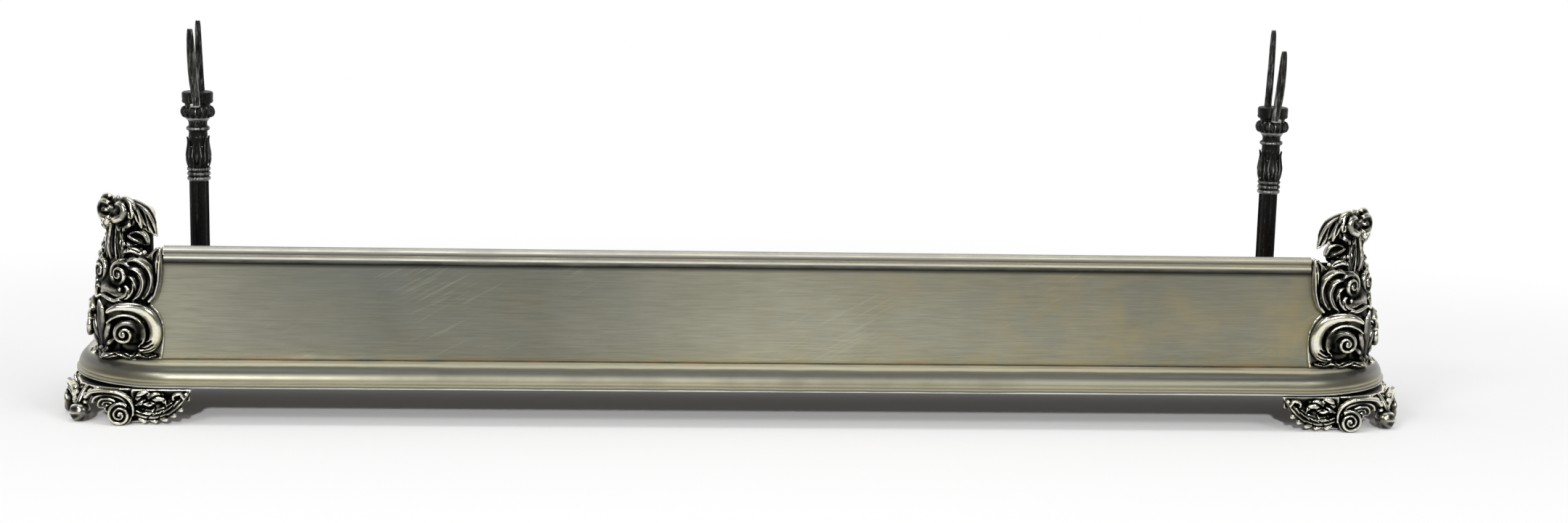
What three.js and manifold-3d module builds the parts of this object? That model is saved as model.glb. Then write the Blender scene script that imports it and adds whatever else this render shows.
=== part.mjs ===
// Fire fender: steel front and returns on an ogee base bar, with cast scroll corners and feet,
// a double-reed top rail and two iron tool rests. Millimetres, +Z up, the front faces -Y.
// Working frame: y = 0 is the front edge of the lip; the whole is centred at the end.
import * as THREE from 'three';
import Module from 'manifold-3d';

const wasm = await Module();
wasm.setup();

// ---------- driving dimensions ----------
const GAP = 0.3;                 // clearance between neighbouring pieces
const CAST_TOL = 2.7;            // surface tolerance of the corner castings
const FOOT_TOL = 2.8;            // and of the feet
const TRIM_TOL = 0.03;           // same, after the trims
const HALF_W = 685;              // half the width over the lip
const LIP_Z = 38;                // underside of the lip above the floor
const LIP_T = 3.8;               // lip thickness
const BAR_H = 20.8;              // lip underside to the ledge the panels stand on
const CORNER_R = 110;            // plan radius of the lip at the front corners
const PANEL_IN = 38;             // lip edge to the outer face of the panels
const PANEL_T = 1.6;             // steel sheet
const PANEL_TOP = 165.9;         // upper edge of the sheet
const REAR_Y = 183;              // rear end of the returns
const PLATE_T = 1.8;             // hearth sheet
const PLATE_IN = 10;             // lip edge to the edge of the hearth sheet
const RAIL_Z0 = 158.6;           // underside of the reeded rail
const RAIL_Z1 = 175.5;           // top of the reeded rail
const BAR_WALL = 2.2;            // wall of the rolled base bar
const PANEL_END = 33;            // sheet ends this far short of the meeting of the two faces
const RAIL_END = 63.6;           // rail ends this far short of it
const FLANGE_T = 2.6;            // flange of the casting on the sheet
const STUD_R = 2.4;              // cast stud through the sheet
const NUT_AF = 9;                // nut across flats
const NUT_T = 4;                 // nut thickness
const FOOT_TOP = LIP_Z - PLATE_T - 2 * GAP;
const VOLUTE_IN = 61.5;          // front volute of the foot, in from the end of the lip
const VOLUTE_Y = 2;
const VOLUTE_R = 12.4;
const BALL_OUT = 19;             // ball of the foot, beyond the lip along the diagonal
const BALL_R = 10.4;
const POST_IN = 117.5;           // tool rest axis, in from the end of the lip
const POST_BACK = 22;            // and forward of the rear end
const SHAFT_AF = 18.6;           // tool rest shaft across flats
const END_POST_IN = 61;          // rod at the end of each return
const END_POST_BACK = 10.5;
const END_POST_R = 6;
const KNOB_R = 8.7;              // ball on the left-hand rod

const CROWN = 0.7;               // swell of the base bar above the ledge
const STRIP_T = 3;               // iron strip behind the top of the sheet
const SCREW_R = 2.5;             // screws through the hearth sheet into the feet
const SCREW_HEAD_R = 4.6;
const SCREW_HEAD_T = 2.6;
const REST_STUD_R = 4;           // stud of a tool rest or end post
const KNOP_R = 18;               // gadrooned knop over its lobes
const LOBES = 14;
const TINE_Y = 19.2;             // tine centre line from the axis
const TINE_W = 9.2;
const TINE_T = 3.8;

const REST_FLANGE_T = 5.2;       // tool rest, from the hearth sheet up
const SHAFT_H = 179.4;
const BALUSTER_H = 66.3;
const KNOP_H = 11.7;
const CAP_R = 16;
const CAP_H = 14.8;
const TIPS_LEFT = [82.2, 87.1];  // tine tips above the strap, near and far: forged by eye,
const TIPS_RIGHT = [77.1, 95.6]; // so they differ between the two rests
const SOLE = 1.2;                // ground off under the volute and ball of the foot

const LEDGE_Z = LIP_Z + BAR_H;
const PLATE_Z1 = LIP_Z - GAP;
const PLATE_Z0 = PLATE_Z1 - PLATE_T;
const CX = HALF_W - CORNER_R;    // centre of the corner arcs
const CY = CORNER_R;
const FACE_X = HALF_W - PANEL_IN;
const FACE_Y = PANEL_IN;
const SUM_XY = FACE_X + FACE_Y;  // x + y on the diagonal of the corner
const RT2 = Math.SQRT1_2;
const FACE_N = 101.8;            // the meeting of the two faces, from the origin of the diagonal points
const OX = FACE_X - FACE_N * RT2;
const OY = FACE_Y + FACE_N * RT2;
const BALL_X = CX + (CORNER_R + BALL_OUT) * RT2;
const BALL_Y = CY - (CORNER_R + BALL_OUT) * RT2;
const VOLUTE_X = HALF_W - VOLUTE_IN;
const POST_X = HALF_W - POST_IN;
const POST_Y = REAR_Y - POST_BACK;
const END_POST_X = HALF_W - END_POST_IN;
const END_POST_Y = REAR_Y - END_POST_BACK;
const FRONT_SCREWS = [[HALF_W - 71, 36], [HALF_W - 36, 71]];
const REAR_SCREW = [HALF_W - 30, REAR_Y - 23];

// ---------- closed solids ----------
function toSolid(geometry) {
  const g = geometry.index ? geometry.toNonIndexed() : geometry;
  const pos = g.getAttribute('position');
  const seen = new Map();
  const verts = [];
  const tris = [];
  for (let i = 0; i < pos.count; i += 1) {
    const p = [pos.getX(i), pos.getY(i), pos.getZ(i)];
    const key = p.map((v) => Math.round(v * 1e4)).join(',');
    if (!seen.has(key)) {
      seen.set(key, verts.length / 3);
      verts.push(...p);
    }
    tris.push(seen.get(key));
  }
  const kept = [];
  for (let i = 0; i < tris.length; i += 3) {
    const [a, b, c] = tris.slice(i, i + 3);
    if (a !== b && b !== c && a !== c) kept.push(a, b, c);
  }
  const mesh = new wasm.Mesh({
    numProp: 3,
    vertProperties: new Float32Array(verts),
    triVerts: new Uint32Array(kept),
  });
  return new wasm.Manifold(mesh);
}

function toGeometry(solid) {
  const mesh = solid.getMesh();
  const g = new THREE.BufferGeometry();
  const pos = new Float32Array((mesh.vertProperties.length / mesh.numProp) * 3);
  for (let i = 0; i < pos.length / 3; i += 1) {
    for (let k = 0; k < 3; k += 1) pos[3 * i + k] = mesh.vertProperties[i * mesh.numProp + k];
  }
  g.setAttribute('position', new THREE.BufferAttribute(pos, 3));
  g.setIndex(new THREE.BufferAttribute(new Uint32Array(mesh.triVerts), 1));
  g.computeVertexNormals();
  return g;
}

function shapeOf(points) {
  return new THREE.Shape(points.map(([a, b]) => new THREE.Vector2(a, b)));
}

// plate from an outline in two axes, thickened along the third
function prism(points, depth) {
  return toSolid(new THREE.ExtrudeGeometry(shapeOf(points), { depth, bevelEnabled: false, steps: 1 }));
}

// an outline (across, up) drawn along X from x0 to x1; across runs along +Y
function alongX(points, x0, x1) {
  const solid = prism(points, x1 - x0);
  return solid.transform([0, 1, 0, 0, 0, 0, 1, 0, 1, 0, 0, 0, x0, 0, 0, 1]);
}

function box(x0, x1, y0, y1, z0, z1) {
  const g = new THREE.BoxGeometry(x1 - x0, y1 - y0, z1 - z0);
  g.translate((x0 + x1) / 2, (y0 + y1) / 2, (z0 + z1) / 2);
  return toSolid(g);
}

function rod(r, z0, z1, sides = 20, x = 0, y = 0) {
  const g = new THREE.CylinderGeometry(r, r, z1 - z0, sides);
  g.rotateX(Math.PI / 2);
  g.translate(x, y, (z0 + z1) / 2);
  return toSolid(g);
}

function rodAlongY(r, y0, y1, x, z, sides = 16) {
  const g = new THREE.CylinderGeometry(r, r, y1 - y0, sides);
  g.translate(x, (y0 + y1) / 2, z);
  return toSolid(g);
}

// turned piece: profile of [radius, z]
function turned(profile, sides = 24) {
  const pts = profile.map(([r, z]) => new THREE.Vector2(r, z));
  const g = new THREE.LatheGeometry(pts, sides);
  g.rotateX(Math.PI / 2);
  g.deleteAttribute('uv');
  let solid = toSolid(g);
  if (solid.volume() < 0) solid = toSolid(flipped(g));
  return solid;
}

function flipped(geometry) {
  const g = geometry.index ? geometry.toNonIndexed() : geometry.clone();
  const a = g.getAttribute('position').array;
  for (let i = 0; i < a.length; i += 9) {
    for (let k = 0; k < 3; k += 1) {
      const t = a[i + 3 + k];
      a[i + 3 + k] = a[i + 6 + k];
      a[i + 6 + k] = t;
    }
  }
  return g;
}

function pebble([x, y, z], [rx, ry, rz], turn = 0, sides = 10) {
  const g = new THREE.SphereGeometry(1, sides, Math.round(sides * 0.6));
  g.rotateX(Math.PI / 2);
  g.scale(rx, ry, rz);
  g.rotateZ(turn);
  g.translate(x, y, z);
  return toSolid(g);
}

// sections of a limb as angles: all round, or domed with a single edge on the buried side
const oval = (n) => Array.from({ length: n }, (_, k) => (k / n) * 2 * Math.PI);
const domed = (n) => [...Array.from({ length: n - 1 }, (_, k) => (k / (n - 2)) * Math.PI), 1.5 * Math.PI];

// a limb through a line of points; wide[] lies in the surface, high[] stands off it
function limb(points, wide, high, outward, section = domed(5), steps = 0) {
  const sides = section.length;
  const curve = new THREE.CatmullRomCurve3(points.map((p) => new THREE.Vector3(...p)));
  const n = steps || Math.max(4, Math.round((points.length - 1) * 1.2));
  const rings = [];
  const at = (list, t) => {
    const f = t * (list.length - 1);
    const i = Math.min(list.length - 2, Math.floor(f));
    return list[i] + (list[i + 1] - list[i]) * (f - i);
  };
  for (let i = 0; i <= n; i += 1) {
    const t = i / n;
    const c = curve.getPoint(t);
    const tangent = curve.getTangent(t);
    const up = (typeof outward === 'function' ? outward(c) : new THREE.Vector3(...outward)).clone();
    up.addScaledVector(tangent, -up.dot(tangent)).normalize();
    const side = new THREE.Vector3().crossVectors(tangent, up);
    const a = at(wide, t);
    const b = at(high, t);
    const ring = [];
    for (let k = 0; k < sides; k += 1) {
      const v = c.clone().addScaledVector(side, a * Math.cos(section[k]));
      ring.push(v.addScaledVector(up, b * Math.sin(section[k])));
    }
    rings.push(ring);
  }
  const start = curve.getPoint(0);
  const end = curve.getPoint(1);
  const flat = [];
  const face = (p, q, r) => flat.push(p.x, p.y, p.z, q.x, q.y, q.z, r.x, r.y, r.z);
  for (let k = 0; k < sides; k += 1) {
    const m = (k + 1) % sides;
    face(start, rings[0][m], rings[0][k]);
    for (let i = 0; i < n; i += 1) {
      face(rings[i][k], rings[i][m], rings[i + 1][m]);
      face(rings[i][k], rings[i + 1][m], rings[i + 1][k]);
    }
    face(end, rings[n][k], rings[n][m]);
  }
  const g = new THREE.BufferGeometry();
  g.setAttribute('position', new THREE.BufferAttribute(new Float32Array(flat), 3));
  const solid = toSolid(g);
  return solid.volume() < 0 ? toSolid(flipped(g)) : solid;
}

const join = (list) => wasm.Manifold.union(list);
// one casting: the outer skin of the joined forms, without the pockets they enclose
const cast = (solid) => solid.decompose().sort((a, b) => b.volume() - a.volume())[0];
const mirrorX = (solid) => solid.mirror([1, 0, 0]);

// ---------- plan outlines of the fender ----------
// U-shaped line set in from the lip edge, from the left rear end round to the right rear end
function planLine(inset, steps = 8, rear = REAR_Y) {
  const r = CORNER_R - inset;
  const pts = [[-(HALF_W - inset), rear]];
  for (let i = 0; i <= steps; i += 1) {
    const a = (i / steps) * (Math.PI / 2);
    pts.push([-CX - r * Math.cos(a), CY - r * Math.sin(a)]);
  }
  for (let i = 0; i <= steps; i += 1) {
    const a = (i / steps) * (Math.PI / 2);
    pts.push([CX + r * Math.sin(a), CY - r * Math.cos(a)]);
  }
  pts.push([HALF_W - inset, rear]);
  return pts;
}

// section of the base bar as [inset from the lip edge, height above the lip underside]
const BAR_OUTSIDE = [
  [0, 0], [0, LIP_T], [1.3, LIP_T + 0.3], [2.6, LIP_T + 0.7], [2.1, 5.6], [2.2, 8.0], [3.0, 10.8],
  [4.6, 14.0], [7.2, 17.0], [10.4, 19.4], [14, 20.9], [18, BAR_H + CROWN], [22.5, BAR_H + 0.5],
  [27.5, BAR_H], [44, BAR_H],
];
const BAR_INSIDE = [
  [44, BAR_H - BAR_WALL], [27, BAR_H - BAR_WALL], [18, 19.2], [14.8, 18.6], [12, 17.4], [9.2, 15.4],
  [7.2, 13.0], [5.9, 10.2], [5.4, LIP_T], [15, 2.6], [15, 0],
];

function baseBar() {
  const section = [...BAR_OUTSIDE, ...BAR_INSIDE];
  const lines = section.map(([inset]) => planLine(inset));
  const stations = lines[0].length;
  const at = (j, i) => {
    const [x, y] = lines[j][i];
    return [x, y, LIP_Z + section[j][1]];
  };
  const flat = [];
  for (let i = 0; i + 1 < stations; i += 1) {
    for (let j = 0; j < section.length; j += 1) {
      const m = (j + 1) % section.length;
      flat.push(...at(j, i), ...at(j, i + 1), ...at(m, i + 1));
      flat.push(...at(j, i), ...at(m, i + 1), ...at(m, i));
    }
  }
  const contour = section.map(([a, b]) => new THREE.Vector2(a, b));
  const turn = Math.sign(THREE.ShapeUtils.area(contour));
  for (const tri of THREE.ShapeUtils.triangulateShape(contour, [])) {
    const same = Math.sign(THREE.ShapeUtils.area(tri.map((k) => contour[k]))) === turn;
    const [a, b, c] = same ? tri : [tri[0], tri[2], tri[1]];
    flat.push(...at(a, 0), ...at(b, 0), ...at(c, 0));
    flat.push(...at(a, stations - 1), ...at(c, stations - 1), ...at(b, stations - 1));
  }
  const g = new THREE.BufferGeometry();
  g.setAttribute('position', new THREE.BufferAttribute(new Float32Array(flat), 3));
  const solid = toSolid(g);
  return solid.volume() < 0 ? toSolid(flipped(g)) : solid;
}

// ---------- frames on the right-hand corner ----------
// front face: s runs inboard from the meeting of the faces, p stands off the face, h above the ledge
const onFront = (s, p, h) => [FACE_X - s, FACE_Y - p, LEDGE_Z + h];
// diagonal: n outward, q across it, h above the ledge
const onDiagonal = (n, q, h) => [OX + (n - q) * RT2, OY - (n + q) * RT2, LEDGE_Z + h];
const OUT_FRONT = [0, -1, 0];
const OUT_DIAGONAL = [RT2, -RT2, 0];
// the eyes look out between the front and the diagonal
const EYE_TURN = 0.2 * Math.PI;
const OUT_EYE = [Math.sin(EYE_TURN), -Math.cos(EYE_TURN), 0];
const EYE = [90, 15.6, 88];
// around the eye: t across it towards the diagonal, u up, d outward
function onEye(t, u, d = 0) {
  const [x, y, z] = onDiagonal(...EYE);
  const [ox, oy] = OUT_EYE;
  return [x - t * oy + d * ox, y + t * ox + d * oy, z + u];
}
// reflection in the diagonal plane carries the front half to the return half
const reflect = (solid) => solid.transform([0, -1, 0, 0, -1, 0, 0, 0, 0, 0, 1, 0, SUM_XY, SUM_XY, 0, 1]);

// studs through the sheet, shared by the castings, the holes and the nuts: [s, h]
const STUDS = [[46, 17], [49, 84]];

// ---------- corner casting (right-hand), modelled as the front half and its reflection ----------
function frontHalf() {
  const out = (p) => {
    const d = new THREE.Vector3(p.x - OX, p.y - OY, 0).normalize();
    return d.add(new THREE.Vector3(0, -1.6, 0)).normalize();
  };
  const list = [];
  const add = (pts, wide, high, sides = 5) => {
    list.push(limb(pts.map((p) => onFront(...p)), wide, high, out, domed(sides)));
  };
  // flange against the sheet
  const edge = [[18, 0.6], [59.6, 0.6], [61.8, 14], [62.4, 30], [60, 44], [50.4, 57.4], [57, 66], [60.6, 80],
    [62.6, 99], [62.9, 112], [63, 116.6], [56, 115], [48, 106], [18, 103]];
  const flange = prism(edge.map(([s, h]) => [FACE_X - s, LEDGE_Z + h]), FLANGE_T);
  list.push(flange.rotate([90, 0, 0]).translate([0, FACE_Y - GAP, 0]));
  // lower C-scroll: broad smooth band, its inner rim and the snail
  add([[8, 9, 50], [17, 11.5, 55], [30, 10.5, 56.6], [43, 9, 52.6], [51, 7.4, 43], [53.6, 6.6, 30], [51.6, 6.4, 18],
    [43, 7, 11]], [2.4, 3.8, 5.2, 6.4, 7.4, 7.8, 6.6, 3.4], [4, 5, 5, 5, 5, 5, 4.6, 3], 6);
  add([[12, 13, 43], [22, 13.6, 47.4], [33, 12.6, 46], [41.4, 11.4, 38.6], [43.6, 10.6, 28], [39.6, 10, 18.4]],
    [1.5, 2, 2.2, 2.2, 2, 1.2], [3, 3, 3, 3, 3, 2], 4);
  list.push(pebble(onFront(32, 8, 29), [13, 7.6, 11.4], 0, 8));
  add([[40, 10, 25], [38.6, 12.4, 33], [32.6, 14, 38.4], [25, 14.6, 39], [18.4, 14.6, 34.4], [16.6, 15, 27.6],
    [21, 15.6, 21.6], [28, 16, 22.6], [30.4, 16.4, 28.6], [25.4, 16.6, 32]],
  [5, 5.6, 4.6, 3.6, 3, 2.7, 2.4, 2.1, 1.9, 1.5], [4, 4.2, 3.8, 3.4, 3.2, 3, 3, 3, 2.8, 2.2]);
  list.push(pebble(onFront(24.6, 15.4, 28.4), [4.2, 4.4, 4.2], 0, 7));
  // low leaf along the ledge
  add([[2, 6, 6], [13, 9, 5.4], [25, 9.4, 5], [38, 8.6, 4.6], [54, 6, 4]], [3, 4, 3.4, 3.6, 1.6],
    [5, 6, 5, 4, 2]);
  // tall leaf up the edge to the shoulder, and the acanthus lobes that hook down round the eye
  add([[48, 5.4, 60], [55, 5, 72], [57.4, 4.6, 88], [58.6, 5, 102], [61, 6.4, 115]], [2.6, 5, 5.4, 4.4, 1],
    [3.4, 4.2, 4.4, 4, 1.4]);
  add([[28, 3, 101], [38, 5, 101], [49, 5.6, 94.6], [51.6, 5.6, 80], [46, 6, 66], [39, 6.4, 60]],
    [2.4, 4.4, 5, 5.2, 4.4, 1.4], [3, 4.6, 5, 5, 4.6, 2]);
  add([[30, 5, 93], [37.6, 6.4, 92], [43.4, 6.6, 81], [40.6, 6.8, 70], [32, 7, 61]], [2.4, 4, 4.4, 3.8, 1.2],
    [3.4, 4.6, 5, 4.6, 2]);
  add([[30, 6.2, 84], [34.6, 6.6, 80], [33, 7, 70], [23, 7, 61]], [2, 3.4, 3.4, 1.2], [3.4, 4.8, 4.6, 2]);
  add([[4, 1.4, 64], [14, 4, 60.6], [28, 6, 58.6], [44, 6.6, 57]], [2, 3, 3, 1.4], [3.6, 4, 4, 2]);
  // eye: a coiled disc on a boss, looking out between the front and the diagonal
  list.push(pebble(onEye(0, 0, -6), [10.4, 8.6, 10.4], EYE_TURN, 10));
  list.push(limb([onEye(-10.6, 7.4, -4), onEye(-5, 10.6, -2.6), onEye(2.6, 10.6, -1.4), onEye(9, 5.4, -1),
    onEye(9.6, -3, -0.6), onEye(4, -9, 0), onEye(-4, -8.4, 0.4), onEye(-7.4, -1.4, 0.6), onEye(-3.6, 4.6, 1),
    onEye(2.4, 4, 1.2)], [1.6, 2.4, 2.6, 2.5, 2.4, 2.2, 2.1, 2, 1.8, 1.4], [2.4, 3, 3, 3, 3, 2.8, 2.6, 2.6, 2.4, 2],
  OUT_EYE));
  // stem, shoulder leaf with its bead, and rolled head
  list.push(limb([onDiagonal(80, 14, 94), onDiagonal(80, 12, 110), onDiagonal(79.5, 10, 126),
    onDiagonal(81, 9.6, 143)], [7.4, 6, 6.2, 8], [8.6, 7, 7, 8], OUT_DIAGONAL, domed(6)));
  add([[20, -3, 117], [32, -0.4, 114], [43, 0.6, 108.6]], [4, 4, 2.4], [4, 4, 2.4]);
  list.push(pebble(onFront(44.4, 1.4, 109.6), [2.6, 2.6, 2.6], 0, 6));
  list.push(pebble(onDiagonal(84.4, 14, 151.4), [9.6, 11, 10.6], Math.PI / 4, 10));
  // head leaf sweeping back to its tip
  const sweep = [[24, -5, 155], [35, -5, 152.4], [44, -5.4, 145], [49.6, -5, 136.6], [56.4, -4, 126]];
  list.push(limb(sweep.map((p) => onFront(...p)), [7.6, 10, 10.4, 7.4, 0.9], [7.6, 7.6, 6.4, 4.4, 0.9],
    [-0.35, -1, 0.25], domed(6)));
  return join(list);
}

function cornerCasting() {
  const half = frontHalf();
  // body behind the ornament, drawn in below the necks
  const core = limb([onDiagonal(86, 0, 1), onDiagonal(87, 0, 17), onDiagonal(87, 0, 35), onDiagonal(86, 0, 51),
    onDiagonal(84, 0, 66), onDiagonal(82, 0, 80), onDiagonal(79, 0, 94), onDiagonal(72, 0, 104)],
  [19, 20, 20, 18, 20, 18, 14, 9], [14.6, 14.4, 14, 12.6, 12.4, 11, 9, 6], OUT_DIAGONAL, domed(7), 8);
  const belly = pebble(onDiagonal(83, 0, 71), [13, 20, 13], -Math.PI / 4, 10);
  const leaf = limb([onDiagonal(98.6, 0, 20), onDiagonal(101, 0, 33), onDiagonal(101.6, 0, 47),
    onDiagonal(103.6, 0, 61)], [2.6, 5.2, 5.6, 0.9], [4, 4.4, 4, 1.2], OUT_DIAGONAL);
  const leaflets = [-1, 1].map((k) => limb([onDiagonal(98, 3 * k, 18), onDiagonal(101, 9 * k, 30),
    onDiagonal(100, 13.4 * k, 41)], [2.2, 3.2, 0.8], [3, 3.4, 1.2], OUT_DIAGONAL, domed(4)));
  const nose = [[100, 0, 6, 5.4], [97.4, 7, 9.4, 4.4], [97.4, -7, 9.4, 4.4], [98.6, 0, 14.4, 4.4]]
    .map(([n, q, h, r]) => pebble(onDiagonal(n, q, h), [r, r, r], Math.PI / 4, 7));
  const bud = [[78, 0, 159, 4.6, 6], [79, 5.4, 157, 4.2, 4.6], [79, -5.4, 157, 4.2, 4.6]]
    .map(([n, q, h, r, tall]) => pebble(onDiagonal(n, q, h), [r, r, tall], Math.PI / 4, 7));
  const all = join([half, reflect(half), core, belly, leaf, ...leaflets, ...nose, ...bud])
    .asOriginal().simplify(CAST_TOL);
  const ledge = box(FACE_X - 120, FACE_X + 60, -40, FACE_Y + 120, LEDGE_Z - 40, LEDGE_Z + CROWN + GAP);
  const sheet = box(FACE_X - 120, FACE_X - PANEL_END + GAP, FACE_Y - GAP, FACE_Y + 24, LEDGE_Z - 9,
    PANEL_TOP + GAP);
  const rail = box(FACE_X - 120, FACE_X - RAIL_END + GAP, FACE_Y - 5, FACE_Y + 12, RAIL_Z0 - GAP, RAIL_Z1 + GAP);
  const studs = STUDS.map(([s, h]) => rodAlongY(STUD_R, FACE_Y - 2, FACE_Y + 8.4, FACE_X - s, LEDGE_Z + h, 10));
  const trimmed = all.subtract(join([ledge, sheet, reflect(sheet), rail, reflect(rail)]));
  return join([trimmed, ...studs, ...studs.map(reflect)]).asOriginal().simplify(TRIM_TOL);
}

// ---------- front foot (right-hand): scroll bracket on the same diagonal ----------
function footHalf() {
  const list = [];
  const out = (p) => new THREE.Vector3(p.x - CX - 20, p.y - CY + 10, 0).normalize();
  // points as [in from the end of the lip, y, z]
  const place = ([a, y, z]) => [HALF_W - a, y, z];
  const add = (pts, wide, high, sides, dir = out) => {
    list.push(limb(pts.map(place), wide, high, dir, domed(sides)));
  };
  const bi = HALF_W - BALL_X;
  const by = BALL_Y;
  // backing web under the hearth sheet, following the corner in plan
  const web = [[129, 8], [85, 7], [60, 9], [40, 15], [33, 22.3], [39, 28], [49, 20], [67, 15], [87, 13],
    [129, 13]];
  list.push(prism(web.map(([a, y]) => [HALF_W - a, y]), 13).translate([0, 0, FOOT_TOP - 13]));
  // raised spiral on the front volute
  const vz = VOLUTE_R - SOLE;
  const spiral = [];
  const turns = 1.6;
  for (let i = 0; i <= 8; i += 1) {
    const t = i / 8;
    const a = Math.PI * 0.72 - t * turns * 2 * Math.PI;
    const r = VOLUTE_R * (0.86 - 0.66 * t);
    spiral.push([VOLUTE_X + r * Math.cos(a), VOLUTE_Y - 3.4 - 1.2 * t, vz + r * Math.sin(a)]);
  }
  list.push(limb(spiral, [2.2, 2, 1.8, 1.6, 1.4, 1.3], [1.9, 1.8, 1.7, 1.6, 1.5, 1.3], OUT_FRONT, domed(4), 16));
  // arch from the volute over to the ball, its inner rim and the flower under it
  add([[VOLUTE_IN + 12, VOLUTE_Y - 1, 14], [VOLUTE_IN + 10, VOLUTE_Y - 1, 25], [VOLUTE_IN + 1, VOLUTE_Y, 32],
    [VOLUTE_IN - 14, VOLUTE_Y + 3, 34], [bi + 13, by - 6, 31.6], [bi + 4, by, 24]],
  [2.6, 3, 3.4, 3.6, 3.6, 4], [4, 4.4, 4.6, 4.6, 4.6, 4.6], 6);
  add([[VOLUTE_IN - 1, VOLUTE_Y, 22], [VOLUTE_IN - 7, VOLUTE_Y + 1, 28], [VOLUTE_IN - 16, VOLUTE_Y + 4, 27.4],
    [bi + 15, by - 8, 23], [bi + 10, by - 4, 15]], [1.8, 2, 2.1, 2.1, 1.8], [3.4, 4, 4.2, 4, 3.4], 5);
  list.push(pebble(place([VOLUTE_IN - 15, VOLUTE_Y + 6, 18.6]), [5, 3.4, 5], 0.3, 7));
  // wing: backing plate and leaf ribs sweeping to the inner end
  const edge = [[VOLUTE_IN + 10, 1.2], [88, 2.2], [106, 8], [121, 19], [132, FOOT_TOP],
    [VOLUTE_IN + 10, FOOT_TOP]];
  list.push(prism(edge.map(([a, z]) => [HALF_W - a, z]), 4).rotate([90, 0, 0]).translate([0, 11, 0]));
  add([[72, 5, 12], [84, 3, 7.4], [101, 3, 9], [115, 3, 19], [126, 3, 32.6]], [4.5, 6, 5.8, 4.4, 2],
    [5, 5.4, 5, 4, 2.4], 5, OUT_FRONT);
  add([[74, 5, 21], [87, 3, 18.6], [100, 3, 20], [111, 3.4, 27.4]], [3.6, 4.6, 4, 1.4], [4, 4.6, 4, 2], 5,
    OUT_FRONT);
  add([[76, 5, 29], [86, 3, 28], [94, 4, 31], [97, 5, 34]], [3.2, 3.6, 2.6, 1.2], [4, 4, 3, 2], 4, OUT_FRONT);
  return join(list);
}

function frontFoot() {
  const half = footHalf();
  const ball = pebble([BALL_X, BALL_Y, BALL_R - SOLE], [BALL_R, BALL_R * 0.92, BALL_R], Math.PI / 4, 14);
  const neck = limb([[BALL_X, BALL_Y, 12], [BALL_X - 4, BALL_Y + 4, 24], [BALL_X - 9, BALL_Y + 9, 33]],
    [8, 7.6, 7], [7, 6.4, 6], OUT_DIAGONAL, domed(6));
  const rim = [[87, 16], [35, 16], [16, 35], [16, 87], [47, 87], [47, 60], [60, 47], [87, 47]];
  const pad = prism(rim.map(([a, y]) => [HALF_W - a, y]), 4).translate([0, 0, FOOT_TOP - 4]);
  // the volutes and the ball keep their round rims
  const volute = rodAlongY(VOLUTE_R, VOLUTE_Y - 3.4, VOLUTE_Y + 9, VOLUTE_X, VOLUTE_R - SOLE, 18);
  const bracket = join([half, reflect(half), neck, pad]).asOriginal().simplify(FOOT_TOL);
  let foot = join([bracket, volute, reflect(volute), ball]);
  foot = foot.subtract(box(CX - 75, HALF_W + 75, -60, CY + 50, -30, 0));
  foot = foot.subtract(box(CX - 75, HALF_W + 75, -60, CY + 50, FOOT_TOP, FOOT_TOP + 40));
  for (const [x, y] of FRONT_SCREWS) {
    foot = foot.subtract(rod(SCREW_R + GAP, FOOT_TOP - 20, FOOT_TOP + 5, 8, x, y));
  }
  return foot.asOriginal().simplify(TRIM_TOL);
}

// ---------- screws ----------
// shank through the hearth sheet and the foot, with its head above the sheet
function footScrew(x, y) {
  const head = turned([[0, 0], [SCREW_HEAD_R, 0], [SCREW_HEAD_R, 1.0], [SCREW_HEAD_R * 0.6, SCREW_HEAD_T],
    [0, SCREW_HEAD_T]], 10).translate([x, y, PLATE_Z1 + GAP]);
  return join([head, rod(SCREW_R, FOOT_TOP - 6, PLATE_Z1 + GAP + 1, 8, x, y)]);
}

function nutAlongY(x, z, y0) {
  const g = new THREE.CylinderGeometry(NUT_AF / Math.sqrt(3), NUT_AF / Math.sqrt(3), NUT_T, 6);
  g.translate(x, y0 + NUT_T / 2, z);
  return toSolid(g).subtract(rodAlongY(STUD_R + GAP, y0 - 1, y0 + NUT_T + 1, x, z, 8));
}

// ---------- panels and rails ----------
function frontPanel() {
  const z0 = LEDGE_Z + GAP;
  const section = [[FACE_Y, z0], [FACE_Y + 13, z0], [FACE_Y + 13, z0 + PANEL_T], [FACE_Y + PANEL_T, z0 + PANEL_T],
    [FACE_Y + PANEL_T, PANEL_TOP], [FACE_Y, PANEL_TOP]];
  const half = FACE_X - PANEL_END;
  let sheet = alongX(section, -half, half);
  for (const side of [-1, 1]) {
    for (const [s, h] of STUDS) {
      const hole = rodAlongY(STUD_R + GAP, FACE_Y - 3, FACE_Y + 4, side * (FACE_X - s), LEDGE_Z + h, 12);
      sheet = sheet.subtract(hole);
    }
  }
  return sheet;
}

// a section (inset from the outer face, z) drawn back along Y on the right-hand return
function alongReturn(section, y0, y1) {
  const solid = prism(section.map(([a, z]) => [a, z]), y1 - y0);
  return solid.transform([-1, 0, 0, 0, 0, 0, 1, 0, 0, 1, 0, 0, FACE_X, y0, 0, 1]);
}

function returnPanel() {
  const z0 = LEDGE_Z + GAP;
  const section = [[0, z0], [13, z0], [13, z0 + PANEL_T], [PANEL_T, z0 + PANEL_T], [PANEL_T, PANEL_TOP],
    [0, PANEL_TOP]];
  let sheet = alongReturn(section, FACE_Y + PANEL_END, REAR_Y - 1);
  for (const [s, h] of STUDS) {
    const hole = new THREE.CylinderGeometry(STUD_R + GAP, STUD_R + GAP, 8, 12);
    hole.rotateZ(Math.PI / 2);
    hole.translate(FACE_X, FACE_Y + s, LEDGE_Z + h);
    sheet = sheet.subtract(toSolid(hole));
  }
  return sheet;
}

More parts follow.
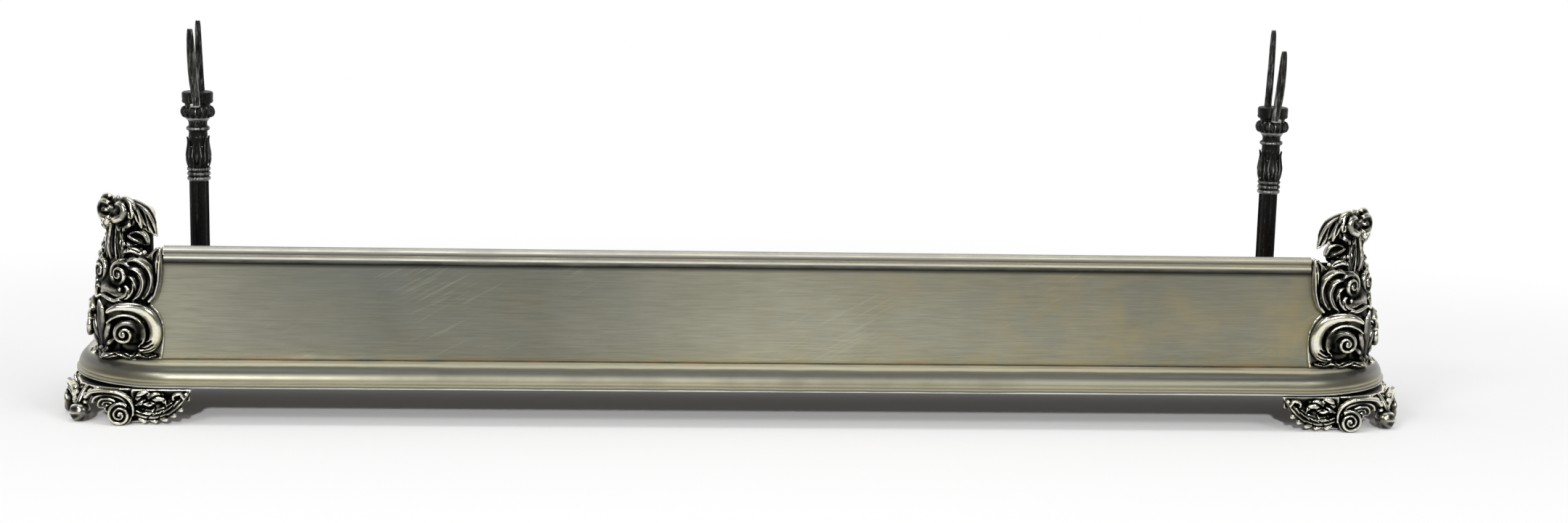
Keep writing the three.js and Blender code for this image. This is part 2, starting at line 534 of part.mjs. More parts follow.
// two reeds: a full bead over the edge of the sheet and a half bead on its face
function railSection() {
  const pts = [];
  const bead = (cy, cz, r, a0, a1, n) => {
    for (let i = 0; i <= n; i += 1) {
      const a = a0 + ((a1 - a0) * i) / n;
      pts.push([cy + r * Math.cos(a), cz + r * Math.sin(a)]);
    }
  };
  const low = (RAIL_Z0 + 4.0);
  pts.push([-GAP, RAIL_Z0]);
  bead(-GAP - 0.2, low, 4.0, -Math.PI * 0.5, -Math.PI * 1.42, 8);
  const high = RAIL_Z1 - 4.7;
  bead(0.7, high, 4.7, -Math.PI * 0.8, -Math.PI * 2.42, 16);
  pts.push([-GAP, PANEL_TOP + GAP]);
  return pts;
}

function frontRail() {
  const half = FACE_X - RAIL_END;
  return alongX(railSection().map(([a, z]) => [FACE_Y + a, z]), -half, half);
}

function returnRail() {
  return alongReturn(railSection(), FACE_Y + RAIL_END, REAR_Y);
}

function strip() {
  const a = PANEL_T + GAP;
  const z0 = RAIL_Z0 - 8.6;
  return [[a, z0], [a + STRIP_T, z0], [a + STRIP_T, PANEL_TOP - 0.4], [a, PANEL_TOP - 0.4]];
}

function hearthPlate() {
  const outline = planLine(PLATE_IN);
  let plate = prism(outline, PLATE_T).translate([0, 0, PLATE_Z0]);
  for (const side of [-1, 1]) {
    for (const [x, y] of [...FRONT_SCREWS, REAR_SCREW]) {
      plate = plate.subtract(rod(SCREW_R + GAP, PLATE_Z0 - 2, PLATE_Z1 + 2, 8, side * x, y));
    }
    plate = plate.subtract(rod(REST_STUD_R + GAP, PLATE_Z0 - 2, PLATE_Z1 + 2, 12, side * POST_X, POST_Y));
    plate = plate.subtract(rod(REST_STUD_R + GAP, PLATE_Z0 - 2, PLATE_Z1 + 2, 12, side * END_POST_X, END_POST_Y));
  }
  return plate;
}

function rearFoot() {
  const profile = [[0, 0], [11, 0], [12.5, 2], [10.5, 6], [8.4, 12], [9.4, 20], [13, 28], [16, FOOT_TOP - 3],
    [16, FOOT_TOP], [0, FOOT_TOP]];
  const [x, y] = REAR_SCREW;
  return turned(profile, 14).translate([x, y, 0])
    .subtract(rod(SCREW_R + GAP, FOOT_TOP - 20, FOOT_TOP + 5, 8, x, y));
}

// ---------- return end post ----------
function endPost() {
  const z0 = PLATE_Z1 + GAP;
  const foot = rod(9.5, z0, z0 + 4, 14, END_POST_X, END_POST_Y);
  const shaft = rod(END_POST_R, z0, RAIL_Z1 - 1.5, 12, END_POST_X, END_POST_Y);
  const collar = rod(END_POST_R + 1.6, RAIL_Z1 - 5, RAIL_Z1 - 1.5, 12, END_POST_X, END_POST_Y);
  const stud = rod(REST_STUD_R, PLATE_Z0 - 6, z0 + 1, 10, END_POST_X, END_POST_Y);
  const lug = box(END_POST_X, FACE_X - PANEL_T - 2 * GAP - STRIP_T, END_POST_Y - 2, END_POST_Y + 2,
    RAIL_Z0 - 30.6, RAIL_Z0 - 12.6);
  return join([foot, shaft, collar, stud, lug]);
}

function endKnob() {
  const z0 = RAIL_Z1 - 1.5 + GAP;
  const neck = rod(4, z0, z0 + 4, 10, -END_POST_X, END_POST_Y);
  return join([neck, pebble([-END_POST_X, END_POST_Y, z0 + 3 + KNOB_R * 0.92], [KNOB_R, KNOB_R, KNOB_R], 0, 14)]);
}

// ---------- tool rest ----------
const REST_Z = { flange: PLATE_Z1 + GAP };
REST_Z.shaft = REST_Z.flange + REST_FLANGE_T + GAP;
REST_Z.baluster = REST_Z.shaft + SHAFT_H + GAP;
REST_Z.knop = REST_Z.baluster + BALUSTER_H + GAP;
REST_Z.fork = REST_Z.knop + KNOP_H + GAP;
REST_Z.cap = REST_Z.fork;

function restBase() {
  const z = REST_Z.flange;
  const disc = turned([[0, 0], [19, 0], [19, REST_FLANGE_T / 2], [14, REST_FLANGE_T], [0, REST_FLANGE_T]], 18)
    .translate([POST_X, POST_Y, z]);
  return join([disc, rod(REST_STUD_R, PLATE_Z0 - 9, z + 2, 10, POST_X, POST_Y)]);
}

function restNut() {
  const g = new THREE.CylinderGeometry(8.2, 8.2, 6, 6);
  g.rotateX(Math.PI / 2);
  g.translate(POST_X, POST_Y, PLATE_Z0 - GAP - 3);
  return toSolid(g).subtract(rod(REST_STUD_R + GAP, PLATE_Z0 - 20, PLATE_Z0 + 5, 12, POST_X, POST_Y));
}

function restShaft() {
  const n = 16;
  const outer = SHAFT_AF / 2 / Math.cos(Math.PI / 8);
  const pts = [];
  for (let i = 0; i < n; i += 1) {
    const a = (i / n) * 2 * Math.PI + Math.PI / 8;
    const r = i % 2 ? outer * 0.84 : outer;
    pts.push([POST_X + r * Math.cos(a), POST_Y + r * Math.sin(a)]);
  }
  return prism(pts, REST_Z.baluster - GAP - REST_Z.shaft).translate([0, 0, REST_Z.shaft]);
}

function restBaluster() {
  const z = REST_Z.baluster;
  const top = REST_Z.knop - GAP;
  const p = [[0, z], [9.6, z]];
  for (const c of [2.6, 7.6, 12.6]) {
    p.push([10, z + c - 2.3], [12.1, z + c], [10, z + c + 2.3]);
  }
  const low = z + 16.4;
  const vase = top - 15.4 - low;
  for (const [r, t] of [[10, 0], [12.2, 0.2], [12.4, 0.34], [11.2, 0.52], [10.8, 0.7], [11, 0.88], [10.4, 1]]) {
    p.push([r, low + t * vase]);
  }
  p.push([12.2, top - 11.3], [9.9, top - 8.4], [9.8, top - 4.3], [12.2, top], [0, top]);
  return turned(p, 14).translate([POST_X, POST_Y, 0]);
}

function restKnop() {
  const z = REST_Z.knop;
  const top = REST_Z.fork - GAP;
  const rim = [[0, 12], [0.19, KNOP_R - 1.6], [0.43, KNOP_R], [0.69, KNOP_R - 1], [1, 12.5]];
  const profile = [[0, z], ...rim.map(([t, r]) => [r, z + t * (top - z)]), [0, top]];
  const sides = 2 * LOBES;
  const g = new THREE.LatheGeometry(profile.map(([r, h]) => new THREE.Vector2(r, h)), sides);
  g.rotateX(Math.PI / 2);
  g.deleteAttribute('uv');
  const a = g.getAttribute('position').array;
  const rows = profile.length;
  for (let i = 0; i * 3 < a.length; i += 1) {
    const groove = Math.floor(i / rows) % 2 ? 0.87 : 1;
    a[3 * i] *= groove;
    a[3 * i + 1] *= groove;
  }
  const solid = toSolid(g);
  return (solid.volume() < 0 ? toSolid(flipped(g)) : solid).translate([POST_X, POST_Y, 0]);
}

// flat strap under the cap with a tine bent up at each end
function restFork([near, far]) {
  const z = REST_Z.fork;
  const strap = box(POST_X - TINE_W / 2, POST_X + TINE_W / 2, POST_Y - TINE_Y - 0.5, POST_Y + TINE_Y + 0.5,
    z, z + TINE_T);
  const w = TINE_W / 2;
  const tine = (side, tip, lean, wide) => {
    const y = POST_Y + side * TINE_Y;
    const at = (t, out, dx) => [POST_X + dx * lean, y + side * out, z + 0.6 + t * (tip - 1.2)];
    return limb([at(0, 0, -0.7), at(0.14, 0.6, -0.3), at(0.45, 1.2, 0.5), at(0.8, 1.6, 0.9), at(1, 1.8, 1)],
      wide, [2.1, 2.1, 2.1, 2, 1.4], [0, side, 0], oval(8));
  };
  return join([strap, tine(-1, near, 3, [w - 1, w - 0.3, w, w - 0.6, w - 1.8]),
    tine(1, far, 1.6, [w - 0.6, w - 0.6, w - 0.8, w - 1.2, w - 2])]);
}

function restCap() {
  const z = REST_Z.cap;
  const top = z + CAP_H;
  const slot = box(POST_X - TINE_W / 2 - GAP, POST_X + TINE_W / 2 + GAP, POST_Y - CAP_R - 1, POST_Y + CAP_R + 1,
    z - 1, z + TINE_T + GAP);
  return turned([[0, z], [12.8, z], [13.2, z + 2.4], [CAP_R - 0.6, z + 3.4], [CAP_R, z + 4.4], [CAP_R, top - 1.2],
    [CAP_R - 1, top], [0, top]], 22).translate([POST_X, POST_Y, 0]).subtract(slot);
}

// ---------- materials and assembly ----------
const MATERIALS = {
  steel: { color: 0x9a9a8c, metalness: 0.9, roughness: 0.35 },
  polished: { color: 0xc8c6b8, metalness: 0.95, roughness: 0.2 },
  casting: { color: 0x6a675c, metalness: 0.85, roughness: 0.4 },
  iron: { color: 0x242322, metalness: 0.6, roughness: 0.6 },
};

const root = new THREE.Group();
root.name = 'fire_fender';

function node(name, solid, material) {
  const mesh = new THREE.Mesh(toGeometry(solid), new THREE.MeshStandardMaterial(MATERIALS[material]));
  mesh.material.name = material;
  mesh.name = name;
  root.add(mesh);
}

function pair(name, solid, material) {
  node(`${name}_left`, mirrorX(solid), material);
  node(`${name}_right`, solid, material);
}

node('base_moulding', baseBar(), 'polished');
node('hearth_plate', hearthPlate(), 'iron');
node('front_panel', frontPanel(), 'steel');
pair('return_panel', returnPanel(), 'steel');
node('front_rail', frontRail(), 'polished');
pair('return_rail', returnRail(), 'polished');
node('front_backing_strip', alongX(strip().map(([a, z]) => [FACE_Y + a, z]), -(FACE_X - RAIL_END),
  FACE_X - RAIL_END), 'iron');
pair('return_backing_strip', alongReturn(strip(), FACE_Y + RAIL_END, REAR_Y - 1), 'iron');

pair('corner_casting', cast(cornerCasting()), 'casting');
pair('front_foot', cast(frontFoot()), 'casting');
pair('rear_foot', rearFoot(), 'iron');
STUDS.forEach(([s, h], i) => {
  const front = nutAlongY(FACE_X - s, LEDGE_Z + h, FACE_Y + PANEL_T + GAP);
  pair(`casting_nut_front_${i + 1}`, front, 'iron');
  pair(`casting_nut_return_${i + 1}`, reflect(front), 'iron');
});
FRONT_SCREWS.forEach(([x, y], i) => pair(`front_foot_screw_${i + 1}`, footScrew(x, y), 'iron'));
pair('rear_foot_screw', footScrew(...REAR_SCREW), 'iron');

pair('return_end_post', endPost(), 'iron');
node('end_post_knob_left', endKnob(), 'polished');

pair('tool_rest_base', restBase(), 'iron');
pair('tool_rest_nut', restNut(), 'iron');
pair('tool_rest_shaft', restShaft(), 'iron');
pair('tool_rest_baluster', restBaluster(), 'iron');
pair('tool_rest_knop', restKnop(), 'iron');
node('tool_rest_fork_left', mirrorX(restFork(TIPS_LEFT)), 'iron');
node('tool_rest_fork_right', restFork(TIPS_RIGHT), 'iron');
pair('tool_rest_cap', restCap(), 'iron');

// the origin lies under the middle of the whole
const bounds = new THREE.Box3().setFromObject(root);
root.position.y = -(bounds.min.y + bounds.max.y) / 2;

export default root;
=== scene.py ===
"""Looks of a steel hearth fender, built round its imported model."""

import math

import bmesh
import bpy
import numpy as np
from bpy.props import FloatProperty, FloatVectorProperty, IntProperty, PointerProperty
from mathutils import Matrix, Vector


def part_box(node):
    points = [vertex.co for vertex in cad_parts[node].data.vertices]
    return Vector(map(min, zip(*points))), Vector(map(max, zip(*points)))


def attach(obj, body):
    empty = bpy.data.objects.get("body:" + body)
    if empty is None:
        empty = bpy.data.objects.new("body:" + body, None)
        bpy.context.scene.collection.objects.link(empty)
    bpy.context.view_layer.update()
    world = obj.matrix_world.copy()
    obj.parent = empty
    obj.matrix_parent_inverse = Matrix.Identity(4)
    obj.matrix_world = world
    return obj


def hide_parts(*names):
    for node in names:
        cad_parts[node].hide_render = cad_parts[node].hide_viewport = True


bl_info = {
    "name": "Hearth Fender",
    "version": (1, 0, 0),
    "blender": (4, 5, 0),
    "location": "3D View > Sidebar > Fender",
    "description": "Steel hearth fender with cast scroll corners, scroll feet and iron tool rests",
    "category": "Add Mesh",
}

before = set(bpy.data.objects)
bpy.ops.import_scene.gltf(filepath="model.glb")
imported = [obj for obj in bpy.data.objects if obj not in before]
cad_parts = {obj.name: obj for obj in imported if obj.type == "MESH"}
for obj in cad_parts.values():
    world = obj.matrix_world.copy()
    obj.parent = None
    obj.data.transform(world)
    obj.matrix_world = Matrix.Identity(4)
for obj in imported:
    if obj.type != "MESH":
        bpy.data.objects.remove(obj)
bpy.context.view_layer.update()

MM = 0.001
# sizes of the fender in millimetres, measured from the front edge of the lip and the floor
HALF_W = 685.0
LIP_Z = 38.0
LEDGE_Z = 58.8
CORNER_R = 110.0
PANEL_IN = 38.0
REAR_Y = 183.0
CX = HALF_W - CORNER_R
CY = CORNER_R
FACE_X = HALF_W - PANEL_IN
FACE_Y = PANEL_IN
SUM_XY = FACE_X + FACE_Y
RAIL_Z0 = 158.6
RAIL_Z1 = 175.5
FOOT_TOP = LIP_Z - 2.4
PANEL_TOP = 165.9
RAIL_END = 63.6
POST = (567.5, 161.0)
END_POST = (624.0, 172.5)
RT2 = math.sqrt(0.5)
LIP_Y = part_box("base_moulding")[0].y / MM
SIDES = {"left": -1, "right": 1}
OUT_FRONT = Vector((0, -1, 0))
OUT_CORNER = Vector((RT2, -RT2, 0))

# camera: its place in the row frame, and its yaw to the right, pitch down and roll in degrees
CAMERA_PLACE = Vector((-0.135, LIP_Y * MM - 2.479, 0.6248))
CAMERA_TURN = (3.947, 10.312, 1.296)
# light: the sun's strength, spread and turn in degrees, then each lamp's place, turn, size and power
SUN_POWER, SUN_SPREAD, SUN_TURN = 2.2, 3.5, (63, 0, -4)
LAMPS = {
    "soft_left": ((-1.6, -2.2, 2.2), (48, 0, -36), (0.9, 0.5), 22),
    "soft_right": ((1.7, -1.9, 1.7), (52, 0, 42), (0.6, 0.6), 12),
    "soft_top": ((0.0, -0.3, 2.6), (4, 0, 0), (2.4, 0.6), 18),
}
FLOOR_REACH = 9.0
# strength of the floor's faint glow, painted light that lifts the shadow under the fender
FLOOR_GLOW = 0.032
ROOM_LIGHT = 0.50
WHITE = (1, 1, 1)


# ---------------------------------------------------------------- sizes and colours
class FenderSizes(bpy.types.PropertyGroup):
    grain: FloatProperty(
        name="Casting grain", description="Finest step in the surface of the castings",
        default=0.0009, min=0.0005, max=0.003, subtype="DISTANCE", unit="LENGTH")
    foot_grain: FloatProperty(
        name="Foot grain", description="Finest step in the surface of the feet",
        default=0.0008, min=0.0005, max=0.003, subtype="DISTANCE", unit="LENGTH")
    bend_steps: IntProperty(
        name="Bend steps", description="Steps round each front corner of the base bar",
        default=28, min=8, max=64)
    lens: FloatProperty(
        name="Lens", description="Focal length of the camera in millimetres",
        default=57.85, min=20, max=120)


class FenderColours(bpy.types.PropertyGroup):
    steel: FloatVectorProperty(
        name="Sheet steel", description="Ground colour of the panels",
        subtype="COLOR", size=3, min=0, max=1, default=(0.235, 0.23, 0.176))
    polished: FloatVectorProperty(
        name="Polished steel", description="Bright parts of the base bar and rails",
        subtype="COLOR", size=3, min=0, max=1, default=(0.78, 0.765, 0.68))
    casting: FloatVectorProperty(
        name="Casting", description="High points of the corner castings and feet",
        subtype="COLOR", size=3, min=0, max=1, default=(0.60, 0.59, 0.52))
    iron: FloatVectorProperty(
        name="Black iron", description="Tool rests and everything behind the panels",
        subtype="COLOR", size=3, min=0, max=1, default=(0.004, 0.0039, 0.0038))
    floor: FloatVectorProperty(
        name="Floor", description="Pale floor", subtype="COLOR",
        size=3, min=0, max=1, default=(0.765, 0.765, 0.77))


def sizes():
    return bpy.context.scene.fender_sizes


def colours():
    return bpy.context.scene.fender_colours


# ---------------------------------------------------------------- shader helpers
class Nodes:
    """Adds nodes to one tree; plain values set inputs or settings, sockets are linked to inputs."""

    def __init__(self, tree):
        self.tree = tree

    def give(self, socket, value):
        if isinstance(value, bpy.types.NodeSocket):
            self.tree.links.new(value, socket)
        elif isinstance(value, tuple) and len(value) == 3 and len(socket.default_value) == 4:
            socket.default_value = (*value, 1.0)
        else:
            socket.default_value = value

    def put(self, kind, **values):
        node = self.tree.nodes.new(kind)
        for key, value in values.items():
            if hasattr(node, key):
                setattr(node, key, value)
            else:
                numbered = key[0] == "i" and key[1:].isdigit()
                self.give(node.inputs[int(key[1:]) if numbered else key.replace("_", " ")], value)
        return node

    def ramp(self, fac, stops, interpolation="LINEAR"):
        node = self.put("ShaderNodeValToRGB", Fac=fac)
        node.color_ramp.interpolation = interpolation
        while len(node.color_ramp.elements) < len(stops):
            node.color_ramp.elements.new(0.5)
        for element, (place, colour) in zip(node.color_ramp.elements, stops):
            element.position = place
            element.color = (*((colour,) * 3 if isinstance(colour, (int, float)) else colour), 1.0)
        return node.outputs["Color"]

    def maths(self, operation, a, b=0.0):
        return self.put("ShaderNodeMath", operation=operation, i0=a, i1=b).outputs[0]

    def span(self, value, low, high):
        """A value from low to high as 0 to 1."""
        return self.put("ShaderNodeMapRange", Value=value, i1=low, i2=high).outputs[0]

    def axes(self, vector):
        return self.put("ShaderNodeSeparateXYZ", Vector=vector).outputs

    def relief(self):
        return self.put("ShaderNodeAttribute", attribute_name="relief").outputs["Fac"]

    def times(self, a, b):
        return self.maths("MULTIPLY", a, b)

    def plus(self, a, b):
        return self.maths("ADD", a, b)

    def blend(self, fac, a, b, kind="MIX"):
        return self.put("ShaderNodeMix", data_type="RGBA", blend_type=kind, i0=fac, i6=a, i7=b).outputs[2]

    def use(self, shared, **values):
        node = self.tree.nodes.new("ShaderNodeGroup")
        node.node_tree = shared
        for key, value in values.items():
            self.give(node.inputs[key], value)
        return node.outputs

    def feed(self, shader, **values):
        for key, value in values.items():
            self.give(shader.inputs[key.replace("_", " ")], value)

    def bump(self, height, strength, distance):
        return self.put("ShaderNodeBump", Height=height, Strength=strength,
                        Distance=distance).outputs["Normal"]


def group(name, inputs, outputs, build):
    """A shader node group, built once."""
    if name in bpy.data.node_groups:
        return bpy.data.node_groups[name]
    tree = bpy.data.node_groups.new(name, "ShaderNodeTree")
    for label, kind, value in inputs:
        socket = tree.interface.new_socket(label, in_out="INPUT", socket_type=kind)
        if value is not None:
            socket.default_value = value
    for label in outputs:
        tree.interface.new_socket(label, in_out="OUTPUT", socket_type="NodeSocketFloat")
    start = tree.nodes.new("NodeGroupInput")
    end = tree.nodes.new("NodeGroupOutput")
    for label, socket in build(Nodes(tree), start.outputs).items():
        tree.links.new(socket, end.inputs[label])
    return tree


def finish(name):
    """Makes a function that fills a Principled material into one that returns it, built once."""
    def wrap(fill):
        def material():
            if name not in bpy.data.materials:
                mat = bpy.data.materials.new(name)
                mat.use_nodes = True
                tree = mat.node_tree
                tree.nodes.clear()
                out = tree.nodes.new("ShaderNodeOutputMaterial")
                shader = tree.nodes.new("ShaderNodeBsdfPrincipled")
                tree.links.new(shader.outputs["BSDF"], out.inputs["Surface"])
                fill(Nodes(tree), shader, tree.nodes.new("ShaderNodeTexCoord").outputs["Object"])
            return bpy.data.materials[name]
        return material
    return wrap


def tint(colour, factor):
    """A colour made lighter or darker."""
    return tuple(c * factor for c in colour)


def brushing():
    """Fine scratches that run along X, as a mask and a height."""
    def build(n, given):
        stretch = n.put("ShaderNodeVectorMath", operation="MULTIPLY", i0=given["Vector"], i1=(1, 28, 28))
        fine = n.put("ShaderNodeTexNoise", Vector=stretch.outputs[0], Scale=given["Scale"], Detail=5.0,
                     Roughness=0.65).outputs["Fac"]
        wide = n.put("ShaderNodeTexNoise", Vector=given["Vector"], Scale=9.0, Detail=3.0).outputs["Fac"]
        mask = n.times(fine, n.plus(wide, 0.45))
        return {"Mask": mask, "Height": fine}
    return group("Brushing", [("Vector", "NodeSocketVector", None), ("Scale", "NodeSocketFloat", 30.0)],
                 ["Mask", "Height"], build)


def patina():
    """Soft stains with ragged edges and small specks."""
    def build(n, given):
        warp = n.put("ShaderNodeTexNoise", Vector=given["Vector"], Scale=given["Scale"], Detail=2.0)
        bend = n.put("ShaderNodeVectorMath", operation="MULTIPLY_ADD", i0=warp.outputs["Color"],
                     i1=(0.05, 0.05, 0.05), i2=given["Vector"])
        cloud = n.put("ShaderNodeTexNoise", Vector=bend.outputs[0], Scale=given["Scale"], Detail=7.0,
                      Roughness=0.62).outputs["Fac"]
        stain = n.ramp(cloud, [(0.40, 0.0), (0.66, 1.0)])
        specks = n.put("ShaderNodeTexVoronoi", Vector=bend.outputs[0],
                       Scale=n.times(given["Scale"], 26.0)).outputs["Distance"]
        dots = n.ramp(specks, [(0.05, 1.0), (0.17, 0.0)])
        thin = n.times(dots, stain)
        return {"Stain": stain, "Specks": thin}
    return group("Patina", [("Vector", "NodeSocketVector", None), ("Scale", "NodeSocketFloat", 6.0)],
                 ["Stain", "Specks"], build)


# ---------------------------------------------------------------- finishes
@finish("sheet steel")
def sheet_steel(n, shader, place):
    """Satin sheet: fine scratches along it, bluish stains to the left, brassy wear to the right."""
    ground = tuple(colours().steel)
    scratch = n.use(brushing(), Vector=place, Scale=26.0)
    stain = n.use(patina(), Vector=place, Scale=5.0)
    small = n.use(patina(), Vector=place, Scale=23.0)
    axis = n.axes(place)
    base = n.blend(n.ramp(scratch["Mask"], [(0.18, 0.0), (0.62, 1.0)]), tint(ground, 0.80),
                   tint(ground, 1.22))
    # broad tone along the front
    along = n.span(axis["X"], -0.65, 0.65)
    tone = n.ramp(along, [(0.0, 1.06), (0.10, 0.96), (0.22, 0.66), (0.34, 0.64), (0.44, 0.94), (0.50, 1.18),
                          (0.62, 1.02), (0.80, 0.84), (1.0, 0.84)])
    base = n.blend(1.0, base, tone, "MULTIPLY")
    blue = n.ramp(along, [(0.06, 0.0), (0.24, 0.75), (0.38, 0.6), (0.46, 0.0)])
    base = n.blend(n.times(blue, stain["Stain"]), base, (0.155, 0.17, 0.165))
    brassy = n.times(n.ramp(along, [(0.42, 0.0), (0.60, 0.55), (0.80, 0.75), (1.0, 0.6)]),
                     n.times(stain["Stain"], small["Stain"]))
    base = n.blend(brassy, base, (0.30, 0.25, 0.12))
    marks = n.use(brushing(), Vector=n.put("ShaderNodeVectorRotate", Vector=place, Axis=(0, 1, 0),
                                           Angle=0.5).outputs[0], Scale=11.0)
    base = n.blend(n.ramp(marks["Mask"], [(0.60, 0.0), (0.70, 0.22)]), base, tint(ground, 1.8))
    # lighter towards the foot of the sheet, with a dark joint line at its very foot and painted shade under
    # the rail
    up = n.span(axis["Z"], LEDGE_Z * MM, RAIL_Z0 * MM)
    height_tone_and_rail_shade = n.ramp(up, [(0.0, 0.12), (0.014, 0.35), (0.02, 0.95), (0.05, 1.14), (0.35, 1.06), (0.7, 0.96),
                       (0.95, 0.90), (0.98, 0.30), (1.0, 0.06)])
    base = n.blend(1.0, base, height_tone_and_rail_shade, "MULTIPLY")
    rust = n.times(n.ramp(up, [(0.0, 0.4), (0.03, 0.25), (0.06, 0.0)]), small["Stain"])
    base = n.blend(rust, base, (0.30, 0.17, 0.07))
    base = n.blend(n.times(small["Specks"], 0.35), base, (0.10, 0.09, 0.07))
    rough = n.plus(n.times(stain["Stain"], 0.10), 0.40)
    n.feed(shader, Base_Color=base, Metallic=0.92, Roughness=rough,
           Normal=n.bump(scratch["Height"], 0.10, 0.0006))


@finish("bar steel")
def bar_steel(n, shader, place):
    """Polished base bar, painted in bands by height: highlights on the lip face, belly and crest, a mottled
    band of dark reflection between belly and crest, and shade in the quirk above the lip.
    """
    bright = tuple(colours().polished)
    stain = n.use(patina(), Vector=place, Scale=11.0)
    scratch = n.use(brushing(), Vector=place, Scale=20.0)
    axis = n.axes(place)
    wobble = n.times(n.maths("SUBTRACT", stain["Stain"], 0.5), 0.0007)
    height = n.plus(axis["Z"], wobble)
    up = n.span(height, LIP_Z * MM, 0.060)
    # painted highlights, dark reflections and shade, banded by height round the profile
    tone = n.ramp(up, [(0.0, (0.72, 0.72, 0.73)), (0.04, (0.74, 0.74, 0.76)), (0.06, (0.03, 0.03, 0.025)),
                       (0.12, (0.04, 0.04, 0.03)), (0.15, (0.30, 0.29, 0.22)), (0.27, (0.44, 0.41, 0.28)),
                       (0.36, (0.13, 0.12, 0.06)), (0.46, (0.11, 0.103, 0.055)), (0.56, (0.13, 0.124, 0.08)),
                       (0.64, (0.10, 0.098, 0.068)), (0.70, (0.025, 0.025, 0.02)),
                       (0.82, (0.008, 0.0085, 0.007)), (0.90, (0.14, 0.14, 0.11)),
                       (0.945, (0.62, 0.60, 0.47)), (1.0, (0.74, 0.72, 0.60))])
    base = n.blend(0.9, bright, tone, "MULTIPLY")
    dull = n.times(stain["Stain"], n.ramp(up, [(0.55, 0.15), (0.8, 0.6), (0.95, 0.25)]))
    base = n.blend(dull, base, (0.08, 0.078, 0.05))
    base = n.blend(n.times(stain["Specks"], 0.6), base, (0.06, 0.055, 0.045))
    base = n.blend(n.times(scratch["Mask"], 0.2), base, tint(bright, 0.4))
    ends = n.ramp(n.maths("ABSOLUTE", axis["X"]), [(0.30, 0.0), (0.56, 1.0)])
    rough = n.maths("SUBTRACT", n.plus(n.times(stain["Stain"], 0.10), 0.50), n.times(ends, 0.22))
    matt = n.ramp(up, [(0.16, 0.55), (0.2, 0.75), (0.90, 0.75), (0.96, 0.35)])
    n.feed(shader, Base_Color=base, Metallic=matt, Roughness=rough,
           Normal=n.bump(stain["Stain"], 0.06, 0.0008))


@finish("rail steel")
def rail_steel(n, shader, place):
    """Polished reeds, yellowing to the right, with painted highlights along the reeds and painted shade in
    the hollow between them and under the lower reed.
    """
    bright = tuple(colours().polished)
    stain = n.use(patina(), Vector=place, Scale=14.0)
    scratch = n.use(brushing(), Vector=place, Scale=22.0)
    axis = n.axes(place)
    up = n.span(axis["Z"], RAIL_Z0 * MM, RAIL_Z1 * MM)
    # painted by height: shade under the lower reed and in the hollow, highlights on the crowns of the reeds
    tone = n.ramp(up, [(0.0, 0.003), (0.14, 0.012), (0.25, 0.10), (0.33, 0.34), (0.44, 0.80), (0.52, 0.42),
                       (0.57, 0.10), (0.64, 0.14), (0.70, 0.28), (0.84, 0.36), (0.94, 0.62), (1.0, 0.5)])
    base = n.blend(1.0, bright, tone, "MULTIPLY")
    along = n.span(axis["X"], -0.6, 0.65)
    warm = n.ramp(along, [(0.0, 0.05), (0.5, 0.25), (1.0, 0.75)])
    base = n.blend(warm, base, n.blend(1.0, base, (1.0, 0.95, 0.72), "MULTIPLY"))
    base = n.blend(n.times(stain["Stain"], 0.35), base, tint(bright, 0.35))
    base = n.blend(n.times(scratch["Mask"], 0.3), base, tint(bright, 0.6))
    rough = n.plus(n.times(stain["Stain"], 0.12), 0.48)
    n.feed(shader, Base_Color=base, Metallic=0.93, Roughness=rough,
           Normal=n.bump(scratch["Height"], 0.06, 0.0004))


@finish("burnished casting with painted light")
def cast_iron(n, shader, place):
    """Burnished casting, bright where hands and cloth have rubbed it, with painted shade blackening the
    hollows and painted highlights on the high points.
    """
    bright = tuple(colours().casting)
    stain = n.use(patina(), Vector=place, Scale=38.0)
    grit = n.put("ShaderNodeTexNoise", Vector=place, Scale=700.0, Detail=4.0).outputs["Fac"]
    relief = n.relief()
    wear_and_painted_light = n.plus(relief, n.times(n.maths("SUBTRACT", grit, 0.5), 0.14))
    # low relief is painted shade in the hollows and high relief painted highlight, over the burnish
    base = n.ramp(wear_and_painted_light, [(0.34, (0.001, 0.001, 0.001)), (0.50, (0.014, 0.014, 0.012)),
                         (0.64, tint(bright, 0.13)), (0.78, tint(bright, 0.52)), (0.95, tint(bright, 1.45))])
    base = n.blend(n.times(stain["Stain"], 0.6), base, (1.0, 0.95, 0.74), "MULTIPLY")
    rough = n.ramp(wear_and_painted_light, [(0.3, 0.45), (0.6, 0.28), (0.9, 0.20)])
    n.feed(shader, Base_Color=base, Metallic=1.0, Roughness=rough, Normal=n.bump(grit, 0.12, 0.0004))


